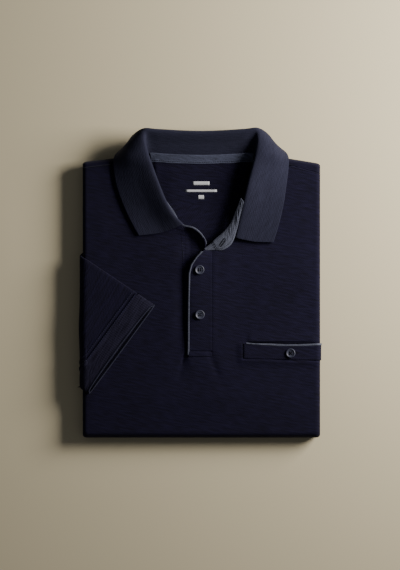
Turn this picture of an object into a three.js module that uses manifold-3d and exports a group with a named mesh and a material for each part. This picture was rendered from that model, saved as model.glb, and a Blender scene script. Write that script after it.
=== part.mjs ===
// A short-sleeved polo shirt, folded as for a shop shelf and lying flat with its chest and collar up.
// Both sides are turned in behind the chest, then the lower half is folded up behind them, so the bundle
// rests on its own lower front. One sleeve comes back round the left side fold and lies on the chest.
// Millimetres. +X is to the right of someone looking down on the chest, +Y the collar end, +Z up.
import * as THREE from "three";
import { mergeVertices } from "three/addons/utils/BufferGeometryUtils.js";
import Module from "manifold-3d";

const wasm = await Module();
wasm.setup();

// Cloth thicknesses, with the air in the knit, and the gap that is left at every seam.
const PIQUE = 1.5;
const RIB = 2.2;
const TAPE = 0.9;
const GAP = 0.3;

// The folded bundle.
const BUNDLE = {
  halfWidth: 150.6,
  height: 20,
  sideRadius: 5, // two side folds lie on each other
  sideTurn: 2.6, // radians that a side fold turns, before it goes in between the two
  foldY: -197.6, // the outermost line of the bottom fold
  foldReach: 7, // how far that fold bulges past the flat faces
  shoulderReach: 5,
  hemY: 140, // the lower hem, underneath
};
const FLAT_HALF = BUNDLE.halfWidth - BUNDLE.sideRadius;
const FLAT_END = BUNDLE.foldY + BUNDLE.foldReach;
const MIDDLE = BUNDLE.height / 2;

// The outer edge of the shoulders falls from the collar to the side fold, and so does the shoulder seam in
// front of it.
const SHOULDER = { nearX: 110, nearY: 159.2, rise: 0.06, fall: 0.2 };
const SHOULDER_SEAM = { nearX: 113, nearY: 150.2, rise: 0, fall: 0.28 };

// The placket runs down the middle of the chest. Its slit is cut through the front.
const PLACKET = {
  slitLeft: -21,
  slitRight: 12,
  slitEnd: -88,
  right: 14.7,
  bottom: -94,
  edgeShow: 1.2,
};
// Left edge of the top placket, which curves open towards the collar.
const PLACKET_EDGE = table("y x lift", [
  [PLACKET.bottom, -15.6, 0],
  [-88, -15.4, 0.3],
  [-60, -15.2, 1.9],
  [-9, -15, 1.9],
  [12, -14.2, 2],
  [23, -11.4, 2.3],
  [33, -4.6, 2.8],
  [41.8, 3.8, 3.2],
]);

// Neck edge of the under placket and of the left front, where a narrow grey binding shows.
const BINDING = table("x y z side", [
  [-46.6, 110.6, 20.6, 1.7],
  [-35.2, 91.4, 20.2, 1.7],
  [-24, 75.4, 19.6, 1.6],
  [-9.5, 71.2, 19.4, 1.8],
  [-1.8, 66, 19.4, 1.8],
  [3.3, 60, 19.4, 1.8],
  [6.8, 53.6, 19.4, 1.8],
]);

// The facing of the top placket, turned open beside the right leaf: inner roll (i) and outer edge (o).
const FACING = table("ix iy iz ox oy oz lift", [
  [8.2, 45.6, 22.6, 11.4, 44, 22.8, 0.6],
  [13.6, 50.4, 22.4, 18.4, 42.4, 22.8, 1.8],
  [19.6, 56.6, 22, 27.6, 42.6, 22.4, 2.8],
  [29.8, 65.2, 21.4, 38.6, 50.2, 22.6, 3],
  [38.4, 76.3, 21, 44.4, 66, 23.4, 2],
  [45.2, 92.4, 20.6, 48.4, 86, 24, 1.2],
  [51.4, 108, 20.4, 53.2, 104, 24, 0.8],
]);

// Sections of the collar from its left front end round the back to the right end: the seam on the neck edge
// (s), the fold line (f) and the free edge of the leaf (e). The leaf bows out between fold and edge, and its
// front ends sag towards the hem.
const COLLAR = table("sx sy sz fx fy fz ex ey ez bow sag", [
  [-26, 73, 20.6, -23, 74.5, 28, -79, 60.4, 23.4, 0.8, 4],
  [-36, 84.6, 20.6, -33.3, 85.6, 31.5, -88.6, 78, 23.4, 1.2, 1],
  [-46.4, 102.2, 20.6, -43.5, 102.7, 34, -98, 98.4, 23.2, 1.6, 0],
  [-57, 126, 20.8, -53.8, 126.6, 36, -106.8, 122.8, 23, 2, 0],
  [-64.6, 147, 21.2, -62.3, 148.7, 37.2, -110.6, 145.6, 22.8, 3, 0],
  [-68, 158.4, 21.8, -69, 168, 38, -110.4, 158.4, 21.8, 5, 0],
  [-66, 161.2, 22.2, -73.4, 186, 38.2, -105, 166.5, 14, 5, 0],
  [-60, 161, 22.2, -71, 194.4, 37.6, -88, 175, 6, 6, 0],
  [-48, 160, 22.2, -55, 193.6, 36.8, -62, 177, 2.6, 7, 0],
  [-24, 158.8, 22.2, -26, 191.8, 36, -29, 176, 2.2, 7, 0],
  [0, 158.4, 22.2, 0, 191, 35.6, 0, 175.6, 2.2, 7, 0],
  [24, 158.8, 22.2, 26, 191.8, 36, 29, 176, 2.2, 7, 0],
  [48, 160, 22.2, 55, 193.8, 36.8, 62, 177, 2.6, 7, 0],
  [60, 161, 22.2, 71.4, 194.8, 37.6, 88, 176, 6, 6, 0],
  [68, 160.4, 22.2, 73.8, 184, 38.2, 106, 168, 14, 5, 0],
  [69.8, 156, 21.6, 71.4, 168, 38, 111.4, 159.6, 21.8, 5, 0],
  [70.6, 149, 21, 67.3, 150.5, 37.6, 111.6, 147, 22.8, 3, 0],
  [64, 125.6, 20.6, 60.5, 126.6, 36.6, 109, 123.6, 23, 2, 0],
  [58, 105.2, 20.6, 54.5, 106.1, 35, 105.4, 99, 23.2, 1.6, 0],
  [52.4, 81.4, 20.6, 48.6, 82.2, 32.4, 99.8, 74.6, 23.4, 1.2, 1],
  [47.6, 59.6, 21.4, 43.5, 58.4, 29, 92.9, 51.8, 23.4, 0.8, 2.4],
]);

// The back panel inside the neck: how its upper end (y, z) and its slope change from the middle outwards.
const BACK_NECK = table("x y z ease", [
  [0, 157.2, 21.6, 1.8],
  [35, 158, 21.6, 1.9],
  [56, 159.6, 21.4, 2.6],
  [64, 159.4, 20.8, 6],
  [72, 158.4, 20, 8],
  [92, 155.6, 19.2, 10],
]);
const BACK_INNER = { y: 44, z: 13 };

// The short sleeve: its open end runs from the tip down to the heel, and its two layers reach back over the
// left side fold. The upper layer is cut back in a bow and the lower one peeps out.
const SLEEVE = {
  tip: [-59.9, -29.2],
  heel: [-141.8, -140],
  band: 26,
  upperBow: 5,
  lowerBow: -0.6,
  wall: 1.2,
  layerGap: 0.8,
  mouth: 2.4, // how much further the layers stand apart at the open end
  mouthDepth: 30,
  turn: 2.15, // radians round the side fold, down to the crease between the two
  offChest: 0.65,
};

// The welt pocket on the right breast, which runs round the side fold, and the piping on its top edge.
const POCKET = {
  left: 55,
  right: 150,
  top: -79.4,
  bottomLeft: -96.2,
  bottomRight: -98.8,
  wall: 1.1,
  piping: 2.4,
  pipingLeft: 60,
  turn: 2,
};

// Four-hole buttons: two on the placket, one on the pocket welt.
const BUTTON = { radius: 6, height: 2.6, rim: 1.2, dish: 0.9, hole: 0.75, holeOut: 1.6 };

// Rows of plain numbers as records with named columns.
function table(columns, rows) {
  const names = columns.split(" ");
  return rows.map((row) => Object.fromEntries(names.map((name, k) => [name, row[k]])));
}

const clamp = THREE.MathUtils.clamp;
const mix = THREE.MathUtils.lerp;
const bump = (t) => Math.exp(-t * t);
const ramp = (t) => THREE.MathUtils.smoothstep(t, 0, 1);
const steps = (from, to, count) => Array.from({ length: count + 1 }, (_, k) => mix(from, to, k / count));
const vector = (x, y, z) => new THREE.Vector3(x, y, z);

// A smooth line through three columns of a table.
function lineThrough(rows, x, y, z) {
  const points = rows.map((row) => vector(row[x], row[y], row[z]));
  return new THREE.CatmullRomCurve3(points, false, "centripetal");
}

// The value of one column where another has the given value.
function lookUp(rows, at, value, column) {
  const rising = rows[0][at] < rows.at(-1)[at] ? rows : [...rows].reverse();
  const after = rising.findIndex((row) => row[at] >= value);
  if (after <= 0) return (after === 0 ? rising[0] : rising.at(-1))[column];
  const [low, high] = [rising[after - 1], rising[after]];
  return mix(low[column], high[column], (value - low[at]) / (high[at] - low[at]));
}

function shoulderLine(line, x) {
  const past = Math.min(Math.abs(x), BUNDLE.halfWidth) - line.nearX;
  return line.nearY - past * (past > 0 ? line.fall : line.rise);
}

// The chest isn't quite flat: it crowns a little, and dips in a valley beside the placket, which stands up.
function relief(x, y) {
  const along = ramp((y - FLAT_END) / 50) * ramp((150 - y) / 30);
  const besidePlacket = ramp((y + 100) / 20) * ramp((62 - y) / 20);
  const crown = 0.7 * Math.cos((x / BUNDLE.halfWidth) * (Math.PI / 2));
  const valley = -2.1 * bump((x + 20.5) / 6);
  const ridge = 0.8 * bump(x / 15);
  return along * crown + besidePlacket * (valley + ridge);
}

// Where a point of the chest lies once the cloth is rolled over the side fold, and how far off it is lifted.
function onChest(x, y, lift = 0) {
  const past = Math.abs(x) - FLAT_HALF;
  if (past <= 0) return vector(x, y, BUNDLE.height + relief(x, y) + lift);
  const turn = past / BUNDLE.sideRadius;
  const radius = BUNDLE.sideRadius + lift;
  const edge = BUNDLE.height + relief(FLAT_HALF, y) - BUNDLE.sideRadius;
  const side = FLAT_HALF + radius * Math.sin(turn);
  return vector(Math.sign(x) * side, y, edge + radius * Math.cos(turn));
}

// A point of the bundle's outer skin beyond the flat chest: `turn` goes round the bottom fold, or over the
// shoulder where `reach` is positive.
function onFold(x, startY, reach, turn) {
  const skin = onChest(x, startY);
  const radius = skin.z - MIDDLE;
  const share = radius / MIDDLE;
  return vector(skin.x, startY + reach * share * Math.sin(turn), MIDDLE + radius * Math.cos(turn));
}

// Columns across the chest, closest at the placket and round the side folds.
const SIDE_TURNS = steps(0, BUNDLE.sideTurn, 5).slice(1);
const PAST_SIDE = SIDE_TURNS.map((turn) => FLAT_HALF + turn * BUNDLE.sideRadius);
const CHEST_COLUMNS = [
  ...[...PAST_SIDE].reverse().map((x) => -x),
  ...[-FLAT_HALF, -120, -92, -64, -44, -33, -27.5, -24, -20.5, -16, -10, 0, 9, 18, 32, 56, 88, 120, FLAT_HALF],
  ...PAST_SIDE,
];
const CHEST_ROWS = [0, 0.05, 0.15, 0.27, 0.4, 0.52, 0.64, 0.72, 0.78, 0.83, 0.9, 1];
const FOLD_TURNS = steps(0, Math.PI, 8).slice(1);

// A closed solid from points and triangles, turned so that its faces point out.
function closedGeometry(points, triangles) {
  const index = triangles.flat();
  const volume = triangles.reduce((sum, [a, b, c]) => {
    return sum + points[a].dot(new THREE.Vector3().crossVectors(points[b], points[c]));
  }, 0);
  if (volume < 0) index.reverse();
  const geometry = new THREE.BufferGeometry().setFromPoints(points);
  geometry.setIndex(index);
  return geometry;
}

function quad(a, b, c, d) {
  return [
    [a, b, c],
    [a, c, d],
  ];
}

// Normals of a grid of points, from each point's neighbours.
function gridNormals(grid, looped) {
  const width = grid[0].length;
  const column = (j) => (looped ? (j + width) % width : clamp(j, 0, width - 1));
  const point = (i, j) => grid[clamp(i, 0, grid.length - 1)][column(j)];
  return grid.map((row, i) =>
    row.map((_, j) => {
      const down = point(i + 1, j).clone().sub(point(i - 1, j));
      const across = point(i, j + 1).clone().sub(point(i, j - 1));
      return across.cross(down).normalize();
    }),
  );
}

// A cloth wall on a grid of points. It grows by `front` along the normals and by `back` against them, and a
// looped grid makes a tube that is open at both ends.
function wall(grid, front, back, looped = false) {
  const width = grid[0].length;
  const normals = gridNormals(grid, looped);
  const side = (offset) =>
    grid.flatMap((row, i) => row.map((p, j) => p.clone().addScaledVector(normals[i][j], offset)));
  const points = [...side(front), ...side(-back)];
  const far = grid.length * width;
  const id = (i, j) => i * width + (looped ? j % width : j);
  const triangles = [];
  const lastColumn = looped ? width : width - 1;
  for (let i = 0; i < grid.length - 1; i += 1) {
    for (let j = 0; j < lastColumn; j += 1) {
      const corners = [id(i, j), id(i + 1, j), id(i + 1, j + 1), id(i, j + 1)];
      triangles.push(...quad(...corners));
      triangles.push(...quad(...corners.map((corner) => corner + far).reverse()));
    }
  }
  const rim = (a, b) => triangles.push(...quad(a, b, b + far, a + far));
  for (let j = 0; j < lastColumn; j += 1) {
    rim(id(0, j), id(0, j + 1));
    rim(id(grid.length - 1, j + 1), id(grid.length - 1, j));
  }
  if (!looped) {
    for (let i = 0; i < grid.length - 1; i += 1) {
      rim(id(i + 1, 0), id(i, 0));
      rim(id(i, width - 1), id(i + 1, width - 1));
    }
  }
  return closedGeometry(points, triangles);
}

// A solid lofted through closed rings, with flat ends.
function loft(rings) {
  const count = rings[0].length;
  const points = rings.flat();
  const triangles = [];
  for (let i = 0; i < rings.length - 1; i += 1) {
    for (let j = 0; j < count; j += 1) {
      const next = (j + 1) % count;
      triangles.push(...quad(i * count + j, (i + 1) * count + j, (i + 1) * count + next, i * count + next));
    }
  }
  const endRing = (rings.length - 1) * count;
  for (let j = 1; j < count / 2; j += 1) {
    const [a, b] = [j - 1, j];
    const [c, d] = [count - 1 - j, count - j];
    const strip = j === 1 ? [[a, b, c], [a, c, d]] : quad(a, b, c, d);
    triangles.push(...strip, ...strip.map((face) => face.map((k) => k + endRing).reverse()));
  }
  return closedGeometry(points, triangles);
}

function toManifold(geometry) {
  const bare = geometry.clone();
  bare.deleteAttribute("normal");
  bare.deleteAttribute("uv");
  const merged = mergeVertices(bare, 1e-4);
  return new wasm.Manifold(
    new wasm.Mesh({
      numProp: 3,
      vertProperties: merged.attributes.position.array,
      triVerts: new Uint32Array(merged.index.array),
    }),
  );
}

function fromManifold(solid) {
  const mesh = solid.getMesh();
  const geometry = new THREE.BufferGeometry();
  geometry.setAttribute("position", new THREE.BufferAttribute(mesh.vertProperties, 3));
  geometry.setIndex(new THREE.BufferAttribute(mesh.triVerts, 1));
  return geometry;
}

// The grid with its outer rows and columns moved outwards, for a tool that cuts past a wall's rims.
function spread(grid, by) {
  const moved = (p, inner) => p.clone().add(p.clone().sub(inner).setLength(by));
  const wide = grid.map((row) => [moved(row[0], row[1]), ...row.slice(1, -1), moved(row.at(-1), row.at(-2))]);
  const end = (row, inner) => row.map((p, j) => moved(p, inner[j]));
  return [end(wide[0], wide[1]), ...wide.slice(1, -1), end(wide.at(-1), wide.at(-2))];
}

const cut = (geometry, ...tools) =>
  fromManifold(tools.reduce((solid, tool) => solid.subtract(toManifold(tool)), toManifold(geometry)));
const join = (...geometries) =>
  fromManifold(geometries.map(toManifold).reduce((solid, other) => solid.add(other)));

// The collar, lofted through its table of sections.
const COLLAR_STATIONS = 52;
const COLLAR_ACROSS = [0, 0.12, 0.25, 0.36, 0.44, 0.5, 0.56, 0.63, 0.72, 0.81, 0.9, 1];
const collarSeam = lineThrough(COLLAR, "sx", "sy", "sz");
const collarFold = lineThrough(COLLAR, "fx", "fy", "fz");
const collarEdge = lineThrough(COLLAR, "ex", "ey", "ez");
const collarShape = new THREE.CatmullRomCurve3(COLLAR.map((row) => vector(row.bow, row.sag, 0)));

function collarSection(t) {
  const seam = collarSeam.getPoint(t);
  const fold = collarFold.getPoint(t);
  const edge = collarEdge.getPoint(t);
  const shape = collarShape.getPoint(t);
  const along = collarFold.getTangent(t);
  const out = along.clone().cross(edge.clone().sub(fold)).normalize();
  const stand = seam.clone().lerp(fold, 0.55);
  const leaf = fold.clone().lerp(edge, 0.48).addScaledVector(out, shape.x);
  leaf.y -= shape.y;
  return new THREE.CatmullRomCurve3([seam, stand, fold, leaf, edge], false, "centripetal");
}

function collarGrid() {
  return steps(0, 1, COLLAR_STATIONS).map((t) => {
    const section = collarSection(t);
    return COLLAR_ACROSS.map((share) => section.getPoint(share));
  });
}

// The outline of the neck opening and of the placket slit, as a tool that cuts both out of the front.
function neckOpening() {
  const clear = RIB / 2 + GAP + 0.3;
  const seam = steps(0, 1, 40).map((t) => {
    const p = collarSeam.getPoint(t);
    const along = collarSeam.getTangent(t);
    return new THREE.Vector2(p.x - along.y * clear, p.y + along.x * clear);
  });
  const left = seam.filter((p) => p.x < 0 && p.y < 156);
  const right = seam.filter((p) => p.x > 0 && p.y < 156);
  const facing = [...FACING].slice(1, 5).reverse();
  const outline = [
    new THREE.Vector2(PLACKET.slitLeft, PLACKET.slitEnd),
    new THREE.Vector2(PLACKET.slitLeft, 66),
    ...left,
    new THREE.Vector2(-74, 175),
    new THREE.Vector2(74, 175),
    ...right,
    ...facing.map((row) => new THREE.Vector2(mix(row.ix, row.ox, 0.4), mix(row.iy, row.oy, 0.4))),
    new THREE.Vector2(PLACKET.slitRight, 41),
    new THREE.Vector2(PLACKET.slitRight, PLACKET.slitEnd),
  ];
  const tool = new THREE.ExtrudeGeometry(new THREE.Shape(outline), { depth: 40, bevelEnabled: false });
  return tool.translate(0, 0, MIDDLE + 2);
}

// Front: the chest from the shoulder seam down, round the bottom fold and back underneath to the hem.
function frontPanel() {
  const chest = CHEST_ROWS.map((share) =>
    CHEST_COLUMNS.map((x) => onChest(x, mix(shoulderLine(SHOULDER_SEAM, x), FLAT_END, share))),
  );
  const fold = FOLD_TURNS.map((turn) => CHEST_COLUMNS.map((x) => onFold(x, FLAT_END, -BUNDLE.foldReach, turn)));
  const under = [-100, 20, BUNDLE.hemY].map((y) =>
    CHEST_COLUMNS.map((x) => {
      const skin = onFold(x, FLAT_END, -BUNDLE.foldReach, Math.PI);
      return vector(skin.x, y, skin.z);
    }),
  );
  return cut(wall([...chest, ...fold, ...under], PIQUE, 0), neckOpening());
}

// The back's inner side in the neck, from deep inside the bundle up to the neck seam.
const NECK_COLUMNS = [-92, -82, -72, -64, -54, -40, -20, 0, 20, 40, 54, 64, 72, 82, 92];
function backNeckPoint(x, share) {
  const end = (column) => lookUp(BACK_NECK, "x", Math.abs(x), column);
  return vector(
    x,
    mix(BACK_INNER.y, end("y"), share),
    mix(BACK_INNER.z, end("z"), share ** end("ease")),
  );
}
const NECK_ROWS = [0, 0.25, 0.5, 0.66, 0.78, 0.86, 0.91, 0.95, 0.98, 1];
const backNeckGrid = () => NECK_ROWS.map((share) => NECK_COLUMNS.map((x) => backNeckPoint(x, share)));

// The strip of the back that rolls over one shoulder and goes in between the side folds.
function shoulderGrid(side) {
  const columns = [76, 88, 104, 122, FLAT_HALF, ...PAST_SIDE];
  const start = (x) => shoulderLine(SHOULDER, x) - BUNDLE.shoulderReach;
  const flat = [0, 0.5, 1].map((share) =>
    columns.map((x) => onChest(side * x, mix(shoulderLine(SHOULDER_SEAM, x) + GAP, start(x), share))),
  );
  const roll = steps(0, 1.45, 5).slice(1).map((turn) =>
    columns.map((x) => onFold(side * x, start(x), BUNDLE.shoulderReach, turn)),
  );
  return [...flat, ...roll];
}

function backPanel() {
  const neck = wall(backNeckGrid(), PIQUE / 2, PIQUE / 2);
  return join(neck, wall(shoulderGrid(-1), PIQUE, 0), wall(shoulderGrid(1), 0, PIQUE));
}

// The hidden layers: one rounded solid inside the skin, cut back from all that lies on it, with the edges of
// its layers showing at the shoulder end.
function foldedLayers() {
  const clear = PIQUE + GAP;
  const inner = BUNDLE.sideRadius - clear;
  const crease = [FLAT_HALF - 0.5, 0];
  const quarter = steps(0, 2.1, 4).map((turn) => [
    FLAT_HALF + inner * Math.sin(turn),
    MIDDLE / 2 + inner * Math.cos(turn),
  ]);
  const rightSide = [...quarter, crease, ...[...quarter].reverse().map(([x, z]) => [x, -z])];
  const section = [...rightSide, ...[...rightSide].reverse().map(([x, z]) => [-x, z])];
  const start = (x) => shoulderLine(SHOULDER, x) - BUNDLE.shoulderReach - 1;
  const ring = (y, share) =>
    section.map(([x, z]) => vector(x * mix(0.985, 1, share), y(x), MIDDLE + z * share));
  const foldEnd = steps(0.12, 1, 4).map((share) =>
    ring(() => FLAT_END - (BUNDLE.foldReach - clear) * Math.sqrt(1 - share * share), share),
  );
  const shoulderEnd = steps(1, 0.3, 4).map((share) =>
    ring((x) => start(x) + (BUNDLE.shoulderReach - 2) * Math.sqrt(1 - share * share), share),
  );
  const core = loft([...foldEnd, ...shoulderEnd]);
  const skin = CHEST_ROWS.map((share) =>
    CHEST_COLUMNS.slice(5, -5).map((x) => onChest(x, mix(168, FLAT_END - 1, share))),
  );
  const slits = [3.6, 6.2].map((z) => {
    const grid = [-9, 6].map((reach) =>
      [-160, -110, 0, 110, 160].map((x) => vector(x, shoulderLine(SHOULDER, x) + reach, z)),
    );
    return wall(grid, 0.35, 0.35);
  });
  const aboveNeck = wall(spread(backNeckGrid(), GAP), 12, PIQUE / 2 + GAP);
  const abovePlacket = wall(spread(underPlacketGrid(), GAP), 8, PIQUE / 2 + GAP);
  return cut(core, wall(skin, clear, 12), aboveNeck, abovePlacket, ...slits);
}

// Under placket, in the slit of the front and just below its surface.
function underPlacketGrid() {
  const columns = [-20.5, -17, -12, -5, 2, 6.4];
  const top = (x) => lookUp(BINDING.slice(2), "x", x, "y") - 0.6;
  return [0, 0.12, 0.3, 0.5, 0.7, 0.82, 0.92, 1].map((share) =>
    columns.map((x) => {
      const y = mix(PLACKET.slitEnd + 1, top(x), share);
      return onChest(x, y, -2.1 - 1.2 * ramp((y - 20) / 40));
    }),
  );
}

// How the top placket lies: its left edge stands up, its right edge is sewn down.
function placketPoint(y, share, drop = 0) {
  const left = lookUp(PLACKET_EDGE, "y", y, "x");
  const lift = lookUp(PLACKET_EDGE, "y", y, "lift") * (1 - share) ** 1.5;
  const x = mix(left, PLACKET.right, share);
  return onChest(x, y, GAP + PIQUE / 2 + 0.9 * (1 - share) + lift - drop);
}
const PLACKET_ROWS = [PLACKET.bottom, -88, -76, -60, -35, -9, 3, 12, 18, 23, 28, 33, 38, 41.8];

function topPlacket() {
  const grid = PLACKET_ROWS.map((y) => [0, 0.2, 0.45, 0.7, 1].map((share) => placketPoint(y, share)));
  return wall(grid, PIQUE / 2, PIQUE / 2);
}

// The grey facing shows as a line along the placket's left edge.
function placketEdge() {
  const drop = PIQUE / 2 + TAPE / 2 + GAP;
  const rows = PLACKET_ROWS.slice(1, -1).map((y) =>
    [-PLACKET.edgeShow, 0.4, 3].map((across) => placketPoint(y, across / 30, drop)),
  );
  return wall(rows, TAPE / 2, TAPE / 2);
}

function placketFacing() {
  const inner = lineThrough(FACING, "ix", "iy", "iz");
  const outer = lineThrough(FACING, "ox", "oy", "oz");
  const lifts = lineThrough(FACING, "lift", "lift", "lift");
  const rows = steps(0, 1, 14).map((t) => {
    const [from, to, lift] = [inner.getPoint(t), outer.getPoint(t), lifts.getPoint(t).x];
    return steps(0, 1, 5).map((share) => {
      const p = from.clone().lerp(to, share);
      p.z += lift * Math.sin(share * Math.PI) ** 0.8;
      return p;
    });
  });
  return wall(rows, 0.6, 0.6);
}

function neckBinding() {
  const line = lineThrough(BINDING, "x", "y", "z");
  const sides = lineThrough(BINDING, "side", "side", "side");
  const rows = steps(0, 1, 18).map((t) => {
    const p = line.getPoint(t);
    const along = line.getTangent(t);
    const width = sides.getPoint(t).x;
    const outer = vector(p.x + along.y * width, p.y - along.x * width, p.z + 0.2);
    return [p, outer];
  });
  return wall(rows, TAPE / 2, TAPE / 2);
}

// Neck tape: sewn over the seam between the back and the stand, lying on both.
function neckTape() {
  const columns = steps(-61, 62, 24);
  const lift = PIQUE / 2 + GAP + TAPE / 2;
  const grid = columns.map((x) => {
    const t = collarShareAt(x);
    const section = collarSection(t);
    const onBack = [0.956, 0.97, 0.985].map((share) => raised(backNeckPoint(x, share), lift, 0.35));
    const onStand = [0.03, 0.072].map((share) => raised(section.getPoint(share), lift + 0.4, 0.42));
    return [...onBack, ...onStand];
  });
  return wall(grid, TAPE / 2, TAPE / 2);
}

// Moves a point off a surface that faces up and a little towards the hem.
function raised(point, lift, lean) {
  return point.add(vector(0, -lean, 1).normalize().multiplyScalar(lift));
}

// The share of the collar's length where its seam has the given x, at the back of the neck.
function collarShareAt(x) {
  let [low, high] = [0.25, 0.78];
  for (let k = 0; k < 24; k += 1) {
    const middle = (low + high) / 2;
    if (collarSeam.getPoint(middle).x < x) low = middle;
    else high = middle;
  }
  return low;
}

// A stretch of the flattened sleeve, as a looped grid. `places` gives the distances of its rows from the open
// end, from the distance at which the cloth reaches the side fold and that at which it is tucked away.
function sleeveGrid(places) {
  const tip = new THREE.Vector2(...SLEEVE.tip);
  const heel = new THREE.Vector2(...SLEEVE.heel);
  const cuff = heel.clone().sub(tip);
  const width = cuff.length();
  cuff.normalize();
  const back = new THREE.Vector2(cuff.y, -cuff.x);
  const half = (SLEEVE.wall + SLEEVE.layerGap) / 2;
  const shares = [...steps(0, 0.72, 6), ...steps(0.72, 1, 9).slice(1)];
  const layers = [
    ...shares.map((share) => ({ share, level: 1, over: 0 })),
    ...[0.5, 0, -0.5].map((level) => ({ share: 1, level, over: Math.sqrt(1 - level * level) })),
    ...[...shares].reverse().map((share) => ({ share, level: -1, over: 0 })),
    ...[-0.5, 0, 0.5].map((level) => ({ share: 0, level, over: -Math.sqrt(1 - level * level) })),
  ];
  const tuckedX = FLAT_HALF + SLEEVE.turn * BUNDLE.sideRadius;
  const point = ({ share, level, over }, row) => {
    const across = tip.clone().addScaledVector(cuff, share * width + over * half);
    const [toFold, toTuck] = [FLAT_HALF, tuckedX].map((x) => (x + across.x) / -back.x);
    const bow = mix(SLEEVE.lowerBow, SLEEVE.upperBow, (level + 1) / 2) * Math.sin(Math.PI * share) ** 0.8;
    const distance = places(toFold, toTuck)[row];
    const nearCuff = 1 - ramp(distance / SLEEVE.mouthDepth);
    across.addScaledVector(back, distance + bow * (1 - ramp(distance / SLEEVE.band)));
    const opening = SLEEVE.mouth * nearCuff * Math.sin(Math.PI * share) ** 0.7;
    const lift = SLEEVE.offChest + SLEEVE.wall / 2 + half + level * (half + opening / 2) + opening / 2;
    return onChest(across.x, across.y, lift);
  };
  return places(0, 1).map((_, row) => layers.map((layer) => point(layer, row)));
}

const sleeveTube = (places) => wall(sleeveGrid(places), SLEEVE.wall / 2, SLEEVE.wall / 2, true);
const bandEnd = (toTuck) => Math.min(SLEEVE.band, toTuck - GAP - 1);
const bandPlaces = (toFold, toTuck) => steps(0, bandEnd(toTuck), 8);
function sleevePlaces(toFold, toTuck) {
  const start = bandEnd(toTuck) + GAP;
  const fold = clamp(toFold, mix(start, toTuck, 0.2), mix(start, toTuck, 0.95));
  return [...steps(start, fold, 5).slice(0, -1), ...steps(fold, toTuck, 7)];
}

const POCKET_WRAP = steps(0, POCKET.turn, 5).map((turn) => FLAT_HALF + turn * BUNDLE.sideRadius);

function welt() {
  const columns = [POCKET.left, 70, 90, 115, 135, ...POCKET_WRAP];
  const across = (x) => (x - POCKET.left) / (POCKET.right - POCKET.left);
  const bottom = (x) => mix(POCKET.bottomLeft, POCKET.bottomRight, across(x));
  const rows = [0, 0.3, 0.65, 1].map((share) =>
    columns.map((x) => onChest(x, mix(bottom(x), POCKET.top, share), GAP + POCKET.wall / 2)),
  );
  return wall(rows, POCKET.wall / 2, POCKET.wall / 2);
}

// The piping bows: it is thin at its left end and thickest a little further on.
function piping() {
  const columns = [POCKET.pipingLeft, 68, 78, 90, 105, 125, ...POCKET_WRAP];
  const low = POCKET.top + GAP;
  const width = (x) => {
    const share = clamp((x - POCKET.pipingLeft) / (FLAT_HALF - POCKET.pipingLeft), 0, 1);
    return POCKET.piping * mix(0.25, 1, ramp(share * 3)) * (1 - 0.2 * share);
  };
  const half = 0.75;
  const rows = [0, 1].map((share) => columns.map((x) => onChest(x, low + share * width(x), GAP + half)));
  return wall(rows, half, half);
}

// A four-hole button, its back on the cloth at height 0.
function buttonGeometry() {
  const { radius, height, rim, dish } = BUTTON;
  const profile = [
    [0, 0],
    [radius * 0.72, 0],
    [radius * 0.96, height * 0.35],
    [radius, height * 0.62],
    [radius * 0.93, height * 0.93],
    [radius - rim * 0.6, height],
    [radius - rim * 1.2, height * 0.9],
    [radius - rim * 1.9, height - dish],
    [0, height - dish],
  ];
  const disc = new THREE.LatheGeometry(profile.map(([x, y]) => new THREE.Vector2(x, y)), 28);
  disc.rotateX(Math.PI / 2);
  const holes = [45, 135, 225, 315].map((angle) => {
    const turn = THREE.MathUtils.degToRad(angle);
    const hole = new THREE.CylinderGeometry(BUTTON.hole, BUTTON.hole, height * 3, 8);
    hole.rotateX(Math.PI / 2);
    return hole.translate(BUTTON.holeOut * Math.cos(turn), BUTTON.holeOut * Math.sin(turn), 0);
  });
  return cut(disc, ...holes);
}

const CLOTH_LOOK = {
  navyPique: { color: 0x171728, roughness: 0.9, metalness: 0 },
  slateRib: { color: 0x2b2e3e, roughness: 0.92, metalness: 0 },
  greyMarl: { color: 0x5d6067, roughness: 0.92, metalness: 0 },
  button: { color: 0x3c4052, roughness: 0.4, metalness: 0 },
};

const shirt = new THREE.Group();

function piece(name, look, geometry) {
  const mesh = new THREE.Mesh(geometry, new THREE.MeshStandardMaterial(CLOTH_LOOK[look]));
  mesh.name = name;
  shirt.add(mesh);
  return mesh;
}

function addButton(name, x, y, lift) {
  const button = piece(name, "button", buttonGeometry());
  button.position.copy(onChest(x, y, lift));
}

piece("folded_layers", "navyPique", foldedLayers());
piece("front_panel", "navyPique", frontPanel());
piece("back_panel", "navyPique", backPanel());
piece("collar", "slateRib", wall(collarGrid(), RIB / 2, RIB / 2));
piece("neck_tape", "greyMarl", neckTape());
piece("neck_binding", "greyMarl", neckBinding());
piece("under_placket", "navyPique", wall(underPlacketGrid(), PIQUE / 2, PIQUE / 2));
piece("top_placket", "navyPique", topPlacket());
piece("placket_edge", "greyMarl", placketEdge());
piece("placket_facing", "greyMarl", placketFacing());
piece("sleeve", "navyPique", sleeveTube(sleevePlaces));
piece("sleeve_band", "navyPique", sleeveTube(bandPlaces));
piece("pocket_welt", "navyPique", welt());
piece("pocket_piping", "greyMarl", piping());
addButton("button_1", -1.5, 16.7, 4.6);
addButton("button_2", -1.1, -40.5, 4.2);
addButton("pocket_button", 114.8, -89.5, GAP * 2 + POCKET.wall);

export default shirt;
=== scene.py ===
"""Looks of a polo shirt that lies folded: its knitted cloth, collar, trims, sewing and buttons.

Lengths are in millimetres up to the moment a mesh is finished, which is then scaled to metres.
+X is to the right of someone looking down on the chest, +Y the collar end, +Z up.
"""

import math

import bmesh
import bpy
from bpy.props import FloatProperty, FloatVectorProperty, PointerProperty
from mathutils import Matrix, Vector, noise


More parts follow.
